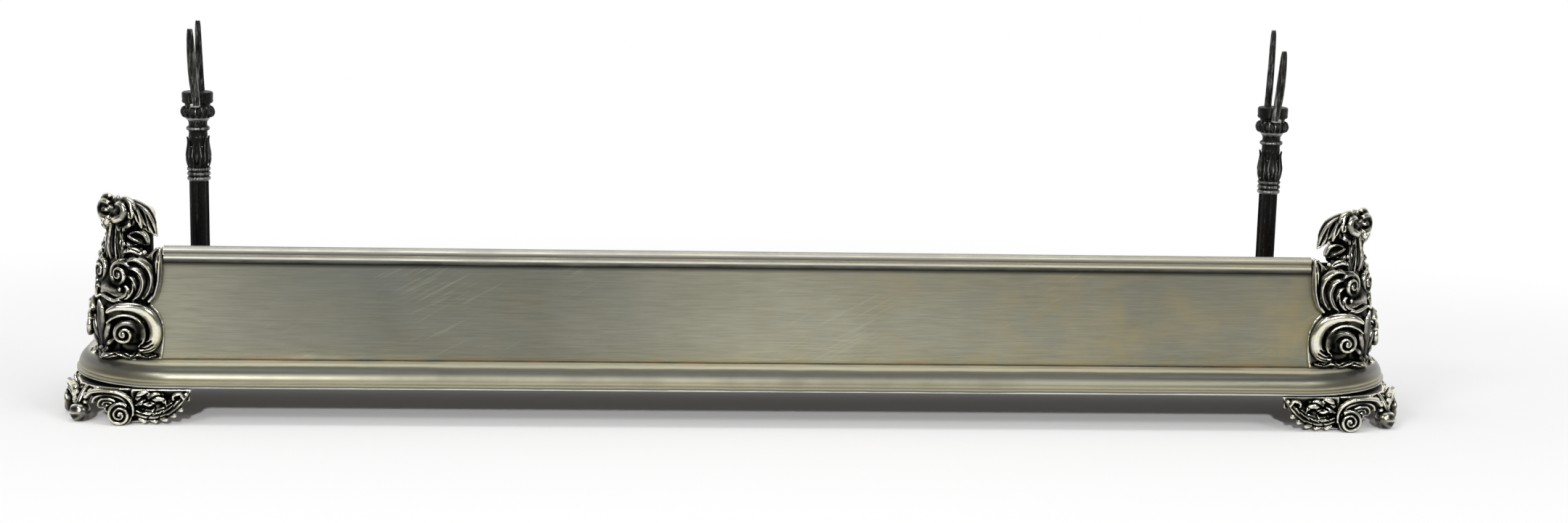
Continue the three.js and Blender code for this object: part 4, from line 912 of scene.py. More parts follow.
def casting_forms():
    """All overlapping forms of a corner casting."""
    bm = bmesh.new()
    front_half(bm)
    both_halves(bm)
    corner_limb(bm, [(86, 0, 1), (87, 0, 17), (87, 0, 35), (86, 0, 51), (84, 0, 66), (82, 0, 80), (79, 0, 94),
                     (72, 0, 104)], [19, 20, 20, 18, 20, 18, 14, 9], [14.6, 14.4, 14, 12.6, 12.4, 11, 9, 6],
                sides=24)
    pebble(bm, on_corner(83, 0, 71), (13, 20, 13), -math.pi / 4)
    # pointed leaf on the corner with its side leaflets
    corner_limb(bm, [(98.4, 0, 18), (100.4, 0, 28), (101.4, 0, 40), (102, 0, 52), (104, 0, 62)],
                [1.8, 4.4, 5.8, 5.2, 0.8], [4.4, 4.8, 4.8, 4, 1.2], ribs=1, cut=0.34, sides=20)
    for k in (-1, 1):
        corner_limb(bm, [(97.6, 3 * k, 17), (100.6, 8 * k, 27), (100.6, 11.6 * k, 36), (98.6, 14.4 * k, 44)],
                    [1.8, 3.4, 3.2, 0.8], [3.4, 4.2, 3.8, 1.4], ribs=1, cut=0.34)
        corner_limb(bm, [(97, 4 * k, 14), (99.6, 12 * k, 19), (97.4, 18 * k, 25)], [1.8, 3.0, 0.8],
                    [3.4, 4.2, 1.6], ribs=1, cut=0.34)
        pebble(bm, on_corner(100, 7 * k, 12), (2.8, 2.8, 3.0))
    # rosette at the foot of the leaf, over the corner of the ledge
    pebble(bm, on_corner(99.4, 0, 7), (5.6, 5.6, 5.6), math.pi / 4)
    for k in range(6):
        a = k / 6 * 2 * math.pi + 0.5
        pebble(bm, on_corner(101, 5.6 * math.cos(a), 7.6 + 4.6 * math.sin(a)), (3.5, 3.5, 2.8))
    # bud between the two heads
    corner_limb(bm, [(78, 0, 150), (78.6, 0, 158), (78, 0, 165.6)], [4.2, 4.8, 1.0], [5, 5, 1.2], ribs=1,
                cut=0.3)
    for k in (-1, 1):
        corner_limb(bm, [(79, 3 * k, 152), (79.6, 6 * k, 158), (78.6, 7.6 * k, 163)], [3, 3.4, 1.0],
                    [4, 4, 1.2], ribs=1, cut=0.3)
    return bm


def trimmed(mesh):
    """Keeps the casting off the ledge, the sheets and the rails."""
    co, _, _ = arrays(mesh)
    x, y = co[:, 0], co[:, 1]
    co[:, 2] = np.maximum(co[:, 2], LEDGE_Z + 1.0)
    low = co[:, 2] < RAIL_Z1 + 0.6
    front = low & (x < FACE_X - 33) & (y < FACE_Y + 30)
    y[front] = np.minimum(y[front], FACE_Y - 0.3)
    back = low & (y > FACE_Y + 33) & (x > FACE_X - 30)
    x[back] = np.maximum(x[back], FACE_X + 0.3)
    put_back(mesh, co)


def flat_view(mesh, end_x, base_z):
    """Each point seen flat as (inboard, up), and how squarely its skin faces the front, 0 to 1."""
    co, normals, _ = arrays(mesh)
    x, y, nx, ny = folded(co, normals)
    return np.stack([end_x - x, co[:, 2] - base_z], axis=1), y, np.clip((-ny - 0.12) / 0.35, 0, 1)


def smoothed(mesh):
    co, _, edges = arrays(mesh)
    put_back(mesh, relaxed(co, edges, 2))


def grooved(mesh, depth):
    """Sinks the skin along its normals."""
    co, normals, _ = arrays(mesh)
    put_back(mesh, co - normals * depth[:, None])


def casting_mesh():
    mesh = fused(casting_forms(), sizes().grain)
    smoothed(mesh)
    flat, _, facing = flat_view(mesh, FACE_X, LEDGE_Z)
    grooved(mesh, stroked(flat, GROOVES) * facing)
    trimmed(mesh)
    flat, y, _ = flat_view(mesh, FACE_X, LEDGE_Z)
    # the flange's edge below the rail is made bright
    below_rail = flat[:, 1] < RAIL_Z0 - LEDGE_Z
    rim = np.clip((y - (FACE_Y - 3.0)) / 0.5, 0, 1) * np.clip((flat[:, 0] - 47) / 3, 0, 1) * below_rail
    store_relief(mesh, extra=0.5 * rim + stroked(flat, PAINTED_HIGHLIGHTS_AND_SHADOWS) * facing)
    return mesh


def place_mesh(source, name, side):
    """A copy of a right-hand mesh, at one end of the fender."""
    mesh = source.copy()
    mesh.transform(to_row(side))
    if side < 0:
        mesh.flip_normals()
    mesh.name = name
    return mesh


# ---------------------------------------------------------------- scroll feet
# offset and gain of the feet's relief, which paints shade in their hollows and highlights on their high
# points over the burnish
FOOT_LIGHT_AND_WEAR = (-0.10, 1.7)
BALL = on_corner(129, 0, 0)
VOLUTE = Vector((623.5, 2.0, 11.2))


def on_lip(a, y, z):
    """a in from the end of the lip, y back from its front edge."""
    return Vector((HALF_W - a, y, z))


def foot_outward(point):
    """Outward from the corner, for the arch of a foot."""
    return Vector((point.x - CX - 20, point.y - CY + 10, 0)).normalized()


# turned rear leg: its axis, and its outline as (radius, height)
REAR_LEG = (655.0, 160.0)
REAR_LEG_PROFILE = [(0, 0), (10.6, 0), (11.4, 0.4), (12.3, 1.4), (12.4, 2.4), (11.6, 4), (10.2, 6.4),
                    (8.9, 10), (8.4, 13), (8.7, 17), (9.6, 21), (11.2, 25), (13.2, 28.4), (15.4, 30.6),
                    (16, 31.6), (16, FOOT_TOP), (0, FOOT_TOP)]

# limbs of half a foot: points as (in from the lip's end, y, z), half widths, heights, ribs
FOOT_LIMBS = [
    # arch: outer ridge, inner C and the curl under it
    ([(74.4, 1, 10), (74.6, 0.4, 18), (72, 0, 25.4), (66, 0, 30.6), (58, 1, 33.4), (49, 3, 34.2),
      (40, 7.4, 33.4), (31, 12.4, 30.6), (25, 16, 25)], [1.4, 1.8, 2.0, 2.1, 2.2, 2.2, 2.3, 2.4, 2.4],
     [3, 3.6, 3.8, 3.8, 3.8, 3.8, 4, 4, 4], 0),
    ([(69.4, 1.4, 20.6), (66, 1.2, 26), (59, 1.6, 29.4), (51, 3.4, 30.4), (43, 6.6, 29.2), (36, 11, 25.6),
      (33, 13.4, 20)], [1.4, 1.6, 1.7, 1.7, 1.7, 1.7, 1.4], [3, 3.4, 3.6, 3.6, 3.6, 3.4, 3], 0),
    ([(60, 2, 21.6), (56, 2.4, 25.2), (50, 3.6, 26.6), (44, 6.4, 25.4), (40, 9.4, 21.4), (38.6, 10.6, 17)],
     [2.0, 1.9, 1.8, 1.7, 1.5, 1.0], [3.2, 3.6, 3.6, 3.4, 3, 2], 0),
    ([(55, 4, 20.4), (51, 5, 22.8), (46, 7, 22), (43, 9, 18.4)], [1.3, 1.5, 1.4, 0.9], [2.8, 3, 2.8, 2], 0),
    # wing: one broad acanthus rising to the web, with lobes along both edges
    ([(74, 4, 14), (84, 3, 10.6), (95, 2.4, 10), (106, 2, 13), (116, 2, 19.4), (123, 2, 26.4),
      (128, 2.4, 33)], [4.0, 6.0, 6.4, 6.2, 5.4, 4.0, 1.8], [4, 4.6, 4.6, 4.4, 4.2, 3.6, 2.2], 3),
    ([(80, 2.6, 8), (85, 1.6, 4.6), (83, 1.8, 2.8)], [2.8, 3.2, 1.4], [3.6, 3.8, 2], 1),
    ([(90, 2.4, 8), (95.6, 1.4, 4.4), (95, 1.6, 2.4)], [2.8, 3.4, 1.4], [3.6, 3.8, 2], 1),
    ([(100, 2.2, 9), (105.6, 1.4, 5.8), (106, 1.6, 3.6)], [2.8, 3.4, 1.4], [3.6, 3.8, 2], 1),
    ([(108, 2, 12), (114, 1.4, 10), (115, 1.6, 7.6)], [2.6, 3.2, 1.3], [3.4, 3.6, 2], 1),
    ([(115, 2, 17), (121, 1.4, 16), (122.4, 1.6, 13.6)], [2.2, 2.8, 1.2], [3.2, 3.4, 1.8], 1),
    # curled tip under the web, and the upper lobes with their hooks
    ([(125, 1.4, 27), (121, 0.8, 31.6), (115, 1, 30.6), (114.4, 1.4, 26), (118, 1, 24.4)],
     [2.0, 2.2, 2.0, 1.8, 1.2], [3.6, 3.6, 3.4, 3, 2.4], 0),
    ([(77, 3.4, 20), (84, 2, 22.6), (90, 1.8, 20.4), (96, 2, 22.4)], [2.4, 3.6, 3.0, 1.4], [3.4, 4, 3.6, 2.2],
     2),
    ([(78, 3.4, 25), (81.6, 2, 31), (87.6, 2, 33), (90, 2.4, 29)], [2.2, 3.2, 2.8, 1.4], [3.2, 3.8, 3.4, 2.2],
     1),
    ([(92, 3, 22), (98, 2, 26.6), (104, 2, 25.6), (106, 2.4, 21)], [2.2, 3.0, 2.6, 1.2], [3.2, 3.6, 3.2, 2],
     1),
    ([(89, 3.4, 27), (95.4, 2.4, 31.4), (101, 2.6, 31.4)], [1.8, 2.4, 1.0], [3, 3.4, 2], 1),
]
# beads along the arch towards the ball: (a, y, z), radius
FOOT_BEADS = [((58, -0.6, 34.2), 2.2), ((52.4, 1, 34.8), 2.4), ((46.6, 3.2, 34.6), 2.5), ((40.8, 6, 34), 2.6),
              ((35.4, 9.4, 33), 2.7), ((30.4, 13, 31.6), 2.8), ((26, 14.4, 28), 3.0)]


# lines on the wing in the flat view (in from the lip's end, z), half width, depth
FOOT_GROOVES = [
    ([(76, 10), (86, 6.6), (97, 6.6), (108, 10.6)], 1.2, 1.4), ([(78, 16), (90, 13), (102, 15), (113, 22),
                                                                 (121, 31)], 1.2, 1.6), ([(79, 21), (90, 25),
                                                                                          (100, 22.6),
                                                                                          (107, 26)], 1.3,
                                                                                         1.6), ([(82, 12),
                                                                                                 (86, 17),
                                                                                                 (83, 23)],
                                                                                                1.0, 1.3),
    ([(92, 10), (96, 16), (94, 22)], 1.0, 1.3), ([(102, 12), (106, 18), (104, 24)], 1.0, 1.3),
    ([(112, 17), (114.6, 22), (112.6, 28)], 1.0, 1.2), ([(76, 28), (84, 29.4), (90, 33)], 1.1, 1.4),
    ([(93, 27), (98, 30), (104, 29)], 1.0, 1.2), ([(86, 5), (90, 9)], 0.9, 1.1),
    ([(97, 5), (101, 9.6)], 0.9, 1.1),
]


def foot_forms():
    """All overlapping forms of a scroll foot."""
    bm = bmesh.new()
    top = FOOT_TOP
    # web under the hearth sheet, plate behind the leaves and wall behind the arch
    web = [(129, 8), (85, 7), (60, 9), (40, 15), (33, 22.3), (39, 28), (49, 20), (67, 15), (87, 13),
           (129, 13)]
    slab(bm, web, lambda a, y: on_lip(a, y, top - 13), (0, 0, 13))
    edge = [(71.5, 1.2), (88, 2.2), (106, 8), (121, 19), (132, top), (71.5, top)]
    slab(bm, edge, lambda a, z: on_lip(a, 11, z), (0, -5.4, 0))
    for a, z, wide, high in ((84, 14, 9, 7), (98, 15, 9, 7), (110, 20, 8, 6.5), (120, 27, 6.5, 5),
                             (84, 27, 8, 6.5), (99, 28, 7, 5.5)):
        pebble(bm, on_lip(a, 6.4, z), (wide, 4.2, high))
    slab(bm, [(72, 34), (72, 16), (62, 15), (50, 14), (36, 13), (30, 26), (34, 34)],
         lambda a, z: on_lip(a, 8 + max(0, 58 - a) * 0.42, z), (0, 5, 0))
    # volute and its coil
    disc = Matrix.Translation(VOLUTE + Vector((0, 2.8, 0))) @ Matrix.Rotation(math.pi / 2, 4, "X")
    bmesh.ops.create_cone(bm, cap_ends=True, segments=40, radius1=12.2, radius2=12.2, depth=12.4, matrix=disc)
    coil = []
    for i in range(22):
        t = i / 21
        a = math.pi * 0.72 - t * 2.2 * 2 * math.pi
        r = 11.4 * (1 - 0.86 * t)
        coil.append(VOLUTE + Vector((r * math.cos(a), -3.4 - 2.6 * t, r * math.sin(a))))
    limb(bm, coil, [2.4, 2.3, 2.1, 1.9, 1.7, 1.5, 1.3, 1.2], [2.8, 2.6, 2.5, 2.4, 2.2, 2.0, 1.8, 1.8],
         OUT_FRONT, per=3)
    pebble(bm, VOLUTE + Vector((0, -5.6, 0)), (2.2, 2.2, 2.2))
    for points, wide, high, ribs in FOOT_LIMBS:
        limb(bm, [on_lip(*p) for p in points], wide, high, OUT_FRONT if points[0][0] > 73 else foot_outward,
             ribs=ribs, sides=8 + 8 * max(1, ribs), cut=0.34)
    for place, r in FOOT_BEADS:
        pebble(bm, on_lip(*place), (r, r, r * 0.8), 0, 2)
    # flower under the arch
    for k in range(7):
        a = k / 6 * 2 * math.pi
        ring = 3.0 if k < 6 else 0.0
        pebble(bm, on_lip(49 + ring * math.cos(a), 7.4, 15.6 + ring * math.sin(a)), (1.9, 2.4, 1.9), 0, 2)
    both_halves(bm)
    # ball on the corner, melon ribbed, and the neck over it
    sphere = Matrix.Translation((BALL.x, BALL.y, 9.4)) @ Matrix.Rotation(-math.pi / 4, 4, "Z")
    ball = bmesh.ops.create_uvsphere(bm, u_segments=48, v_segments=24, radius=10.8)["verts"]
    for v in ball:
        angle = math.atan2(v.co.y, v.co.x)
        ring = 1 - 0.13 * (0.5 - 0.5 * math.cos(8 * angle)) * (1 - abs(v.co.z) / 11.4)
        v.co.x *= ring
        v.co.y *= ring
    lean = Matrix.Rotation(math.radians(78), 4, "X")
    bmesh.ops.transform(bm, matrix=sphere @ lean, verts=ball)
    limb(bm, [Vector((BALL.x, BALL.y, 13)), Vector((BALL.x - 4, BALL.y + 4, 24)),
              Vector((BALL.x - 9, BALL.y + 9, 32.6))], [7.8, 7.6, 7], [6.8, 6.4, 6], OUT_CORNER, ribs=2,
         sides=20, cut=0.3)
    for k in (-1, 1):
        for h, out in ((20, 3), (26, 1), (31, -2)):
            pebble(bm, Vector((BALL.x - 4 - 5 * k + out, BALL.y + 4 - 5 * k - out, h)), (2.6, 2.6, 2.2), 0, 2)
    pad = [(87, 16), (35, 16), (16, 35), (16, 87), (47, 87), (47, 60), (60, 47), (87, 47)]
    slab(bm, pad, lambda a, y: on_lip(a, y, top - 4), (0, 0, 4))
    return bm


def foot_mesh():
    mesh = fused(foot_forms(), sizes().foot_grain)
    smoothed(mesh)
    flat, _, facing = flat_view(mesh, HALF_W, 0.0)
    grooved(mesh, stroked(flat, FOOT_GROOVES) * facing * np.clip((flat[:, 0] - 70) / 5, 0, 1))
    co, _, _ = arrays(mesh)
    co[:, 2] = np.clip(co[:, 2], 0.0, FOOT_TOP)
    put_back(mesh, co)
    store_relief(mesh, *FOOT_LIGHT_AND_WEAR)
    return mesh


# ---------------------------------------------------------------- steel bar and rails
# section of the base bar as (in from the lip's edge, above the lip's underside)
BAR_PROFILE = [(15, 0), (0.5, 0), (0, 0.5), (0, 3.4), (0.4, 3.8), (1.3, 4.1), (2.2, 4.2), (2.6, 4.5),
               (2.3, 5.1), (2.1, 5.8), (2.15, 6.9), (2.3, 8.2), (2.6, 9.5), (3.0, 10.8), (3.7, 12.4),
               (4.6, 14.0), (5.8, 15.6), (7.2, 17.0), (8.8, 18.35), (10.4, 19.4), (12.1, 20.3), (14, 20.95),
               (16, 21.35), (18, 21.5), (20.2, 21.45), (22.5, 21.25), (25, 20.95), (27.5, 20.8), (44, 20.8),
               (44, 18.6), (27, 18.6), (18, 19.2), (14.8, 18.6), (12, 17.4), (9.2, 15.4), (7.2, 13.0),
               (5.9, 10.2), (5.4, 3.8), (15, 2.6)]


def swept_round(bm, profile, base_z, rear, steps):
    """Draws a closed section round the fender, from the right rear end to the left."""
    verts, edges = outline(bm, profile, lambda a, z: (HALF_W - a, rear, base_z + z))
    edges.append(bm.edges.new((verts[-1], verts[0])))
    bmesh.ops.edgeloop_fill(bm, edges=edges)
    verts, edges = drawn(bm, edges, (0, CY - rear, 0))
    turn = math.pi / 2
    for centre, length in (((CX, CY, 0), (-2 * CX, 0, 0)), ((-CX, CY, 0), (0, rear - CY, 0))):
        out = bmesh.ops.spin(bm, geom=verts + edges, cent=centre, axis=(0, 0, -1), angle=turn, steps=steps,
                             use_duplicate=False)["geom_last"]
        verts, edges = ring_of(out)
        verts, edges = drawn(bm, edges, length)
    bmesh.ops.edgeloop_fill(bm, edges=edges)
    bmesh.ops.remove_doubles(bm, verts=bm.verts, dist=0.001)


def reed_profile():
    """Two reeds as (off the face, height): a full bead over the sheet's edge and a half bead below."""
    points = [(-0.3, RAIL_Z0)]
    low, high = RAIL_Z0 + 4.0, RAIL_Z1 - 4.7
    for i in range(17):
        a = -math.pi * (0.5 + 0.92 * i / 16)
        points.append((-0.5 + 4.0 * math.cos(a), low + 4.0 * math.sin(a)))
    for i in range(41):
        a = -math.pi * (0.8 + 1.62 * i / 40)
        points.append((0.7 + 4.7 * math.cos(a), high + 4.7 * math.sin(a)))
    points.append((-0.3, PANEL_TOP + 0.3))
    return points


def straight_rail(name, node, start, step, make):
    """One length of rail, drawn out from a start by a step."""
    bm = bmesh.new()
    verts, edges = outline(bm, reed_profile(), lambda a, z: make(a, z, start))
    edges.append(bm.edges.new((verts[-1], verts[0])))
    bmesh.ops.edgeloop_fill(bm, edges=edges)
    verts, edges = drawn(bm, edges, step)
    bmesh.ops.edgeloop_fill(bm, edges=edges)
    piece(name, finish_mesh(bm, name), rail_steel(), [node])


# ---------------------------------------------------------------- tool rests
def rest_levels():
    """Heights of flange, shaft, baluster, knop, strap, cap and the cap's top."""
    flange = 38.0
    shaft = flange + 5.5
    baluster = shaft + 179.7
    knop = baluster + 66.6
    strap = knop + 12.0
    return flange, shaft, baluster, knop, strap, strap, strap + 14.8


def round_post(angle, radius, height):
    """A place round the tool rest's axis."""
    return Vector((POST[0] + radius * math.cos(angle), POST[1] + radius * math.sin(angle), height))


def rest_base(bm):
    """Flange on the hearth plate, and the stud down through it."""
    low = rest_levels()[0]
    turned(bm, [(0, low), (18.6, low), (19, 38.4), (19, 40.2), (18.4, 40.8), (16.4, 41.2), (15, 42.2),
                (14, 43.2), (0, 43.2)], POST)
    turned(bm, [(0, 27), (4, 27), (4, low + 1), (0, low + 1)], POST, 24)


def rest_shaft(bm):
    """Octagonal shaft with hollowed faces."""
    _, low, high, *_ = rest_levels()
    radius = 9.3 / math.cos(math.pi / 8)
    ring = bmesh.ops.create_circle(bm, segments=32, radius=radius,
                                   matrix=Matrix.Translation((*POST, low)))["verts"]
    for v in ring:
        angle = math.atan2(v.co.y - POST[1], v.co.x - POST[0])
        dip = 1 - 0.2 * abs(math.sin(4 * angle)) ** 0.6
        v.co.x = POST[0] + (v.co.x - POST[0]) * dip
        v.co.y = POST[1] + (v.co.y - POST[1]) * dip
    edges = list({e for v in ring for e in v.link_edges})
    bmesh.ops.edgeloop_fill(bm, edges=edges)
    for k in range(12):
        _, edges = drawn(bm, edges, (0, 0, (high - 0.3 - low) / 12))
    bmesh.ops.edgeloop_fill(bm, edges=edges)


def half_rounds(profile, radius, bulge, half, centres):
    """Adds half-round rings to a turned profile, at each centre height."""
    for c in centres:
        for k in range(9):
            a = math.pi * (k / 8 - 0.5)
            profile.append((radius + bulge * math.cos(a), c + half * math.sin(a)))


def rest_baluster(bm):
    """Turned baluster with rings at its foot and top, and leaves round its bulge."""
    _, _, z, knop, *_ = rest_levels()
    top = knop - 0.3
    p = [(0, z), (9.6, z)]
    half_rounds(p, 9.7, 2.4, 2.3, [z + c for c in (2.6, 7.6, 12.6)])
    p += [(r, z + h) for r, h in ((9.4, 16.6), (9.8, 19), (10.8, 22), (11.2, 25.4), (11.2, 28.6), (10.6, 32),
                                  (9.8, 36), (9.5, 40.6), (9.6, 44), (9.8, 47), (9.5, 50.4))]
    half_rounds(p, 9.8, 2.4, 2.2, [top - 11.3])
    p += [(9.5, top - 8), (9.5, top - 5), (10.4, top - 3.2), (12.3, top - 1), (12.3, top), (0, top)]
    turned(bm, p, POST, 40)
    # leaves round the bulge, tips curling out under the upper ring
    for i in range(6):
        a = (i + 0.5) / 6 * 2 * math.pi
        out = Vector((math.cos(a), math.sin(a), 0))
        line = [round_post(a, r, z + h) for r, h in ((9.6, 17), (11.2, 21), (12.2, 27), (11.4, 34),
                                                     (10.8, 41), (12.0, 46.6))]
        limb(bm, line, [2.0, 4.2, 5.2, 4.2, 2.8, 0.8], [0.9, 1.4, 1.8, 1.7, 1.4, 0.8], out, sides=20, ribs=2,
             cut=0.5)
        turn = Matrix.Rotation(math.pi / 6, 3, "Z")
        side = [Vector((*POST, q.z - 4)) + turn @ Vector((q.x - POST[0], q.y - POST[1], 0)) for q in line[:5]]
        limb(bm, side, [1.6, 3.0, 3.4, 2.4, 0.8], [0.8, 1.2, 1.5, 1.2, 0.8], turn @ out, sides=16, ribs=1,
             cut=0.4)


def rest_knop(bm):
    """Lobed knop under the strap."""
    _, _, _, z, strap, *_ = rest_levels()
    top = strap - 0.3
    span = top - z
    turned(bm, [(0, z), (11.6, z), (13.6, z + 0.14 * span), (15.2, z + 0.34 * span), (15.2, z + 0.6 * span),
                (13.8, z + 0.84 * span), (12, top), (0, top)], POST, 56)
    for i in range(14):
        a = i / 14 * 2 * math.pi
        line = [round_post(a, r, z + h * span) for r, h in
                ((12.2, 0.04), (14.6, 0.2), (15.6, 0.46), (14.8, 0.76), (12.4, 0.94))]
        limb(bm, line, [1.3, 2.9, 3.4, 2.9, 1.3], [1, 2.0, 2.4, 2.0, 1],
             Vector((math.cos(a), math.sin(a), 0)), sides=12)


def rest_cap(bm):
    """Round block, narrower at its foot, slotted underneath for the strap."""
    *_, z, top = rest_levels()
    turned(bm, [(0, z), (12.8, z), (13.2, z + 2.4), (15.2, z + 3.2), (15.9, z + 4.2), (16, z + 5.2),
                (15.7, z + 7.4), (15.9, z + 8), (16, top - 2), (15.6, top - 0.8), (14.6, top - 0.2),
                (10, top), (0, top)], POST, 56)
    # slot for the strap: the middle of the underside is lifted clear of it
    for x in (-4.9, 4.9):
        bmesh.ops.bisect_plane(bm, geom=bm.verts[:] + bm.edges[:] + bm.faces[:], dist=0.0001,
                               plane_co=(POST[0] + x, 0, 0), plane_no=(1, 0, 0))
    under = [f for f in bm.faces if abs(f.calc_center_median().x - POST[0]) < 4.9
             and f.calc_center_median().z < z + 0.1]
    sole = bmesh.ops.extrude_face_region(bm, geom=under)["geom"]
    bmesh.ops.translate(bm, vec=(0, 0, 4.1), verts=[g for g in sole if isinstance(g, bmesh.types.BMVert)])


FORK_TIPS = {"left": (82.2, 87.1), "right": (77.1, 95.6)}
# how far each piece is rubbed down to bright iron, which partly stands for painted highlight: everywhere, and
# on its ridges
REST_WEAR_AND_HIGHLIGHT = {"base": (-0.08, 0.05), "shaft": (-0.02, 0.0), "baluster": (-0.09, 0.32), "knop": (-0.11, 0.16),
             "cap": (0.01, 0.0), "fork": (-0.05, 0.3)}


def rest_fork(bm, tips):
    """Strap with a tine bent up at each end; near and far tips differ."""
    z = rest_levels()[4]
    base = bmesh.ops.create_cube(bm, size=1.0, matrix=Matrix.Translation((*POST, z + 1.9))
                                 @ Matrix.Diagonal((9.2, 39.4, 3.8, 1)))
    rim = list({e for v in base["verts"] for e in v.link_edges})
    bmesh.ops.bevel(bm, geom=rim, offset=0.8, segments=2, profile=0.5, affect="EDGES", material=-1)
    for side, tip, lean, wide in ((-1, tips[0], 3.0, (3.6, 4.2, 4.7, 4.8, 4.2, 3.4, 2.4)),
                                  (1, tips[1], 1.6, (4.0, 4.0, 3.9, 3.8, 3.5, 3.0, 2.2))):
        y = POST[1] + side * 19.2
        line = [Vector((POST[0] + lean * dx, y + side * out, z + 0.6 + t * (tip - 1.2))) for t, out,
                dx in ((0, 0, -0.75), (0.14, 0.5, -0.4), (0.32, 0.9, 0.1), (0.5, 1.2, 0.5), (0.75, 1.5, 0.85),
                       (0.93, 1.8, 1), (1, 1.8, 1))]
        limb(bm, line, wide, [2.1, 2.1, 2.1, 2.0, 1.9, 1.8, 1.2], Vector((0, side, 0)), sides=16)


# ---------------------------------------------------------------- operators
class FENDER_OT_base_bar(bpy.types.Operator):
    """Adds the polished ogee base bar, bent round both corners"""
    bl_idname = "fender.base_bar"
    bl_label = "Base bar"

    def execute(self, context):
        bm = bmesh.new()
        swept_round(bm, BAR_PROFILE, LIP_Z, REAR_Y, sizes().bend_steps)
        piece("base_bar", finish_mesh(bm, "base_bar"), bar_steel(), ["base_moulding"])
        return {"FINISHED"}


class FENDER_OT_sheets(bpy.types.Operator):
    """Gives the sheet panels and the iron behind them their finish"""
    bl_idname = "fender.sheets"
    bl_label = "Sheets and ironwork"

    def execute(self, context):
        dress(["front_panel", "return_panel_left", "return_panel_right"], sheet_steel())
        iron = [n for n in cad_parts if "nut" in n or "screw" in n or "strip" in n
                or n == "hearth_plate"]
        dress(iron, black_iron())
        return {"FINISHED"}


class FENDER_OT_rails(bpy.types.Operator):
    """Adds the double-reed rails along the top of the sheets"""
    bl_idname = "fender.rails"
    bl_label = "Reeded rails"

    def execute(self, context):
        half = FACE_X - RAIL_END
        straight_rail("rail_front", "front_rail", -half, (2 * half, 0, 0), lambda a, z, x: (x, FACE_Y + a, z))
        start = FACE_Y + RAIL_END
        for side, k in SIDES.items():
            straight_rail(f"rail_return_{side}", f"return_rail_{side}", start, (0, REAR_Y - start, 0),
                          lambda a, z, y: (k * (FACE_X - a), y, z))
        return {"FINISHED"}


class FENDER_OT_castings(bpy.types.Operator):
    """Adds the two cast corner pieces"""
    bl_idname = "fender.castings"
    bl_label = "Corner castings"

    def execute(self, context):
        source = casting_mesh()
        for side, k in SIDES.items():
            name = f"scroll_corner_{side}"
            piece(name, place_mesh(source, name, k), cast_iron(), [f"corner_casting_{side}"], 0)
        return {"FINISHED"}


class FENDER_OT_feet(bpy.types.Operator):
    """Adds the scroll feet and the turned rear legs"""
    bl_idname = "fender.feet"
    bl_label = "Feet"

    def execute(self, context):
        source = foot_mesh()
        for side, k in SIDES.items():
            name = f"scroll_foot_{side}"
            piece(name, place_mesh(source, name, k), cast_iron(), [f"front_foot_{side}"], 0)
            bm = bmesh.new()
            turned(bm, REAR_LEG_PROFILE, REAR_LEG)
            name = f"rear_leg_{side}"
            piece(name, finish_mesh(bm, name, k), black_iron(), [f"rear_foot_{side}"])
        return {"FINISHED"}


class FENDER_OT_tool_rests(bpy.types.Operator):
    """Adds the two upright tool rests"""
    bl_idname = "fender.tool_rests"
    bl_label = "Tool rests"

    def execute(self, context):
        parts = {"base": rest_base, "shaft": rest_shaft, "baluster": rest_baluster, "knop": rest_knop,
                 "cap": rest_cap}
        for side, k in SIDES.items():
            for part, build in {**parts, "fork": lambda bm: rest_fork(bm, FORK_TIPS[side])}.items():
                bm = bmesh.new()
                build(bm)
                name = f"rest_{part}_{side}"
                mesh = finish_mesh(bm, name, k)
                store_relief(mesh, *REST_WEAR_AND_HIGHLIGHT[part], unit=MM)
                piece(name, mesh, black_iron(), [f"tool_rest_{part}_{side}"], 32)
        return {"FINISHED"}


class FENDER_OT_end_posts(bpy.types.Operator):
    """Adds the rods at the ends of the returns and the ball on the left one"""
    bl_idname = "fender.end_posts"
    bl_label = "End posts"

    def execute(self, context):
        for side, k in SIDES.items():
            bm = bmesh.new()
            rod = [(0, 30), (4, 30), (4, 38), (9.2, 38), (9.5, 38.4), (9.5, 41.4), (8.8, 42), (6, 42.4)]
            if side == "left":
                rod += [(6, 170.6), (7.3, 171), (7.6, 171.6), (7.6, 173.4), (7.2, 174), (0, 174)]
            else:
                rod += [(6, 147.4), (5.4, 148), (0, 148)]
            turned(bm, rod, END_POST, 36)
            bmesh.ops.create_cube(bm, size=1.0, matrix=Matrix.Translation((633, END_POST[1], 137))
                                  @ Matrix.Diagonal((17, 4, 18, 1)))
            name = f"end_post_{side}"
            piece(name, finish_mesh(bm, name, k), black_iron(), [f"return_end_post_{side}"])
        bm = bmesh.new()
        ball = [(0, 174.3), (4, 174.3), (4, 176.6)]
        for i in range(1, 25):
            a = -math.pi / 2 + math.pi * (0.14 + 0.86 * i / 24)
            ball.append((max(0.0, 8.7 * math.cos(a)), 185.3 + 8.7 * math.sin(a)))
        turned(bm, ball, END_POST, 48)
        piece("end_ball_left", finish_mesh(bm, "end_ball_left", -1), ball_metal(),
              ["end_post_knob_left"])
        return {"FINISHED"}


def stand(name, data, place=(0, 0, 0), turn=(0, 0, 0)):
    """An object in the scene, turned by degrees."""
    obj = bpy.data.objects.new(name, data)
    obj.location = place
    obj.rotation_euler = [math.radians(t) for t in turn]
    bpy.context.scene.collection.objects.link(obj)
    return obj


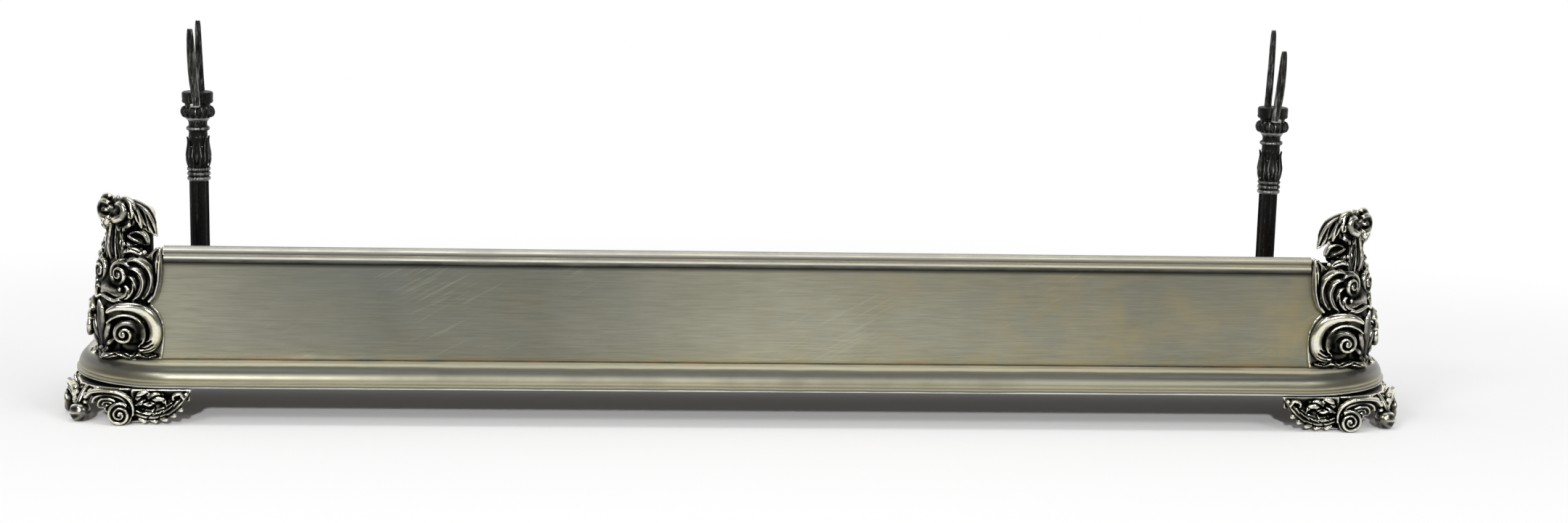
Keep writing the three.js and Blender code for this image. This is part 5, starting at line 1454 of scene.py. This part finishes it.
class FENDER_OT_stage(bpy.types.Operator):
    """Adds the pale floor, the light and the camera"""
    bl_idname = "fender.stage"
    bl_label = "Floor, light and camera"

    def execute(self, context):
        bm = bmesh.new()
        bmesh.ops.create_grid(bm, x_segments=2, y_segments=2, size=FLOOR_REACH)
        mesh = bpy.data.meshes.new("floor")
        bm.to_mesh(mesh)
        bm.free()
        mesh.materials.append(floor_material())
        stand("floor", mesh)
        sun = bpy.data.lights.new("front_light", "SUN")
        sun.energy = SUN_POWER
        sun.angle = math.radians(SUN_SPREAD)
        stand("front_light", sun, (0, 0, 0), SUN_TURN)
        for name, (place, turn, size, power) in LAMPS.items():
            lamp = bpy.data.lights.new(name, "AREA")
            lamp.shape = "RECTANGLE"
            lamp.size, lamp.size_y = size
            lamp.energy = power
            stand(name, lamp, place, turn)
        context.scene.world = room_light()
        camera = bpy.data.cameras.new("camera")
        camera.lens = sizes().lens
        camera.sensor_width = 36
        camera.clip_end = 60
        eye = stand("camera", camera)
        yaw, pitch, roll = (math.radians(a) for a in CAMERA_TURN)
        ahead = Vector((math.sin(yaw) * math.cos(pitch), math.cos(yaw) * math.cos(pitch), -math.sin(pitch)))
        right = ahead.cross(Vector((0, 0, 1))).normalized()
        up = right.cross(ahead)
        right, up = (right * math.cos(roll) + up * math.sin(roll),
                     up * math.cos(roll) - right * math.sin(roll))
        eye.matrix_world = Matrix.Translation(CAMERA_PLACE) @ Matrix((right, up,
                                                                      -ahead)).transposed().to_4x4()
        context.scene.camera = eye
        context.scene.view_settings.view_transform = "Standard"
        return {"FINISHED"}


class FENDER_PT_panel(bpy.types.Panel):
    """Sizes, colours and pieces of the fender"""
    bl_idname = "FENDER_PT_panel"
    bl_label = "Hearth fender"
    bl_space_type = "VIEW_3D"
    bl_region_type = "UI"
    bl_category = "Fender"

    def draw(self, context):
        for holder in (context.scene.fender_sizes, context.scene.fender_colours):
            for key in holder.__annotations__:
                self.layout.prop(holder, key)
        for operator in OPERATORS:
            self.layout.operator(operator.bl_idname)


OPERATORS = (FENDER_OT_base_bar, FENDER_OT_sheets, FENDER_OT_rails, FENDER_OT_castings, FENDER_OT_feet,
             FENDER_OT_tool_rests, FENDER_OT_end_posts, FENDER_OT_stage)
CLASSES = (FenderSizes, FenderColours, *OPERATORS, FENDER_PT_panel)


def register():
    for cls in CLASSES:
        bpy.utils.register_class(cls)
    bpy.types.Scene.fender_sizes = PointerProperty(type=FenderSizes)
    bpy.types.Scene.fender_colours = PointerProperty(type=FenderColours)


def unregister():
    del bpy.types.Scene.fender_sizes
    del bpy.types.Scene.fender_colours
    for cls in reversed(CLASSES):
        bpy.utils.unregister_class(cls)


def main():
    register()
    for operator in OPERATORS:
        group_name, name = operator.bl_idname.split(".")
        getattr(getattr(bpy.ops, group_name), name)()


if __name__ == "__main__":
    main()
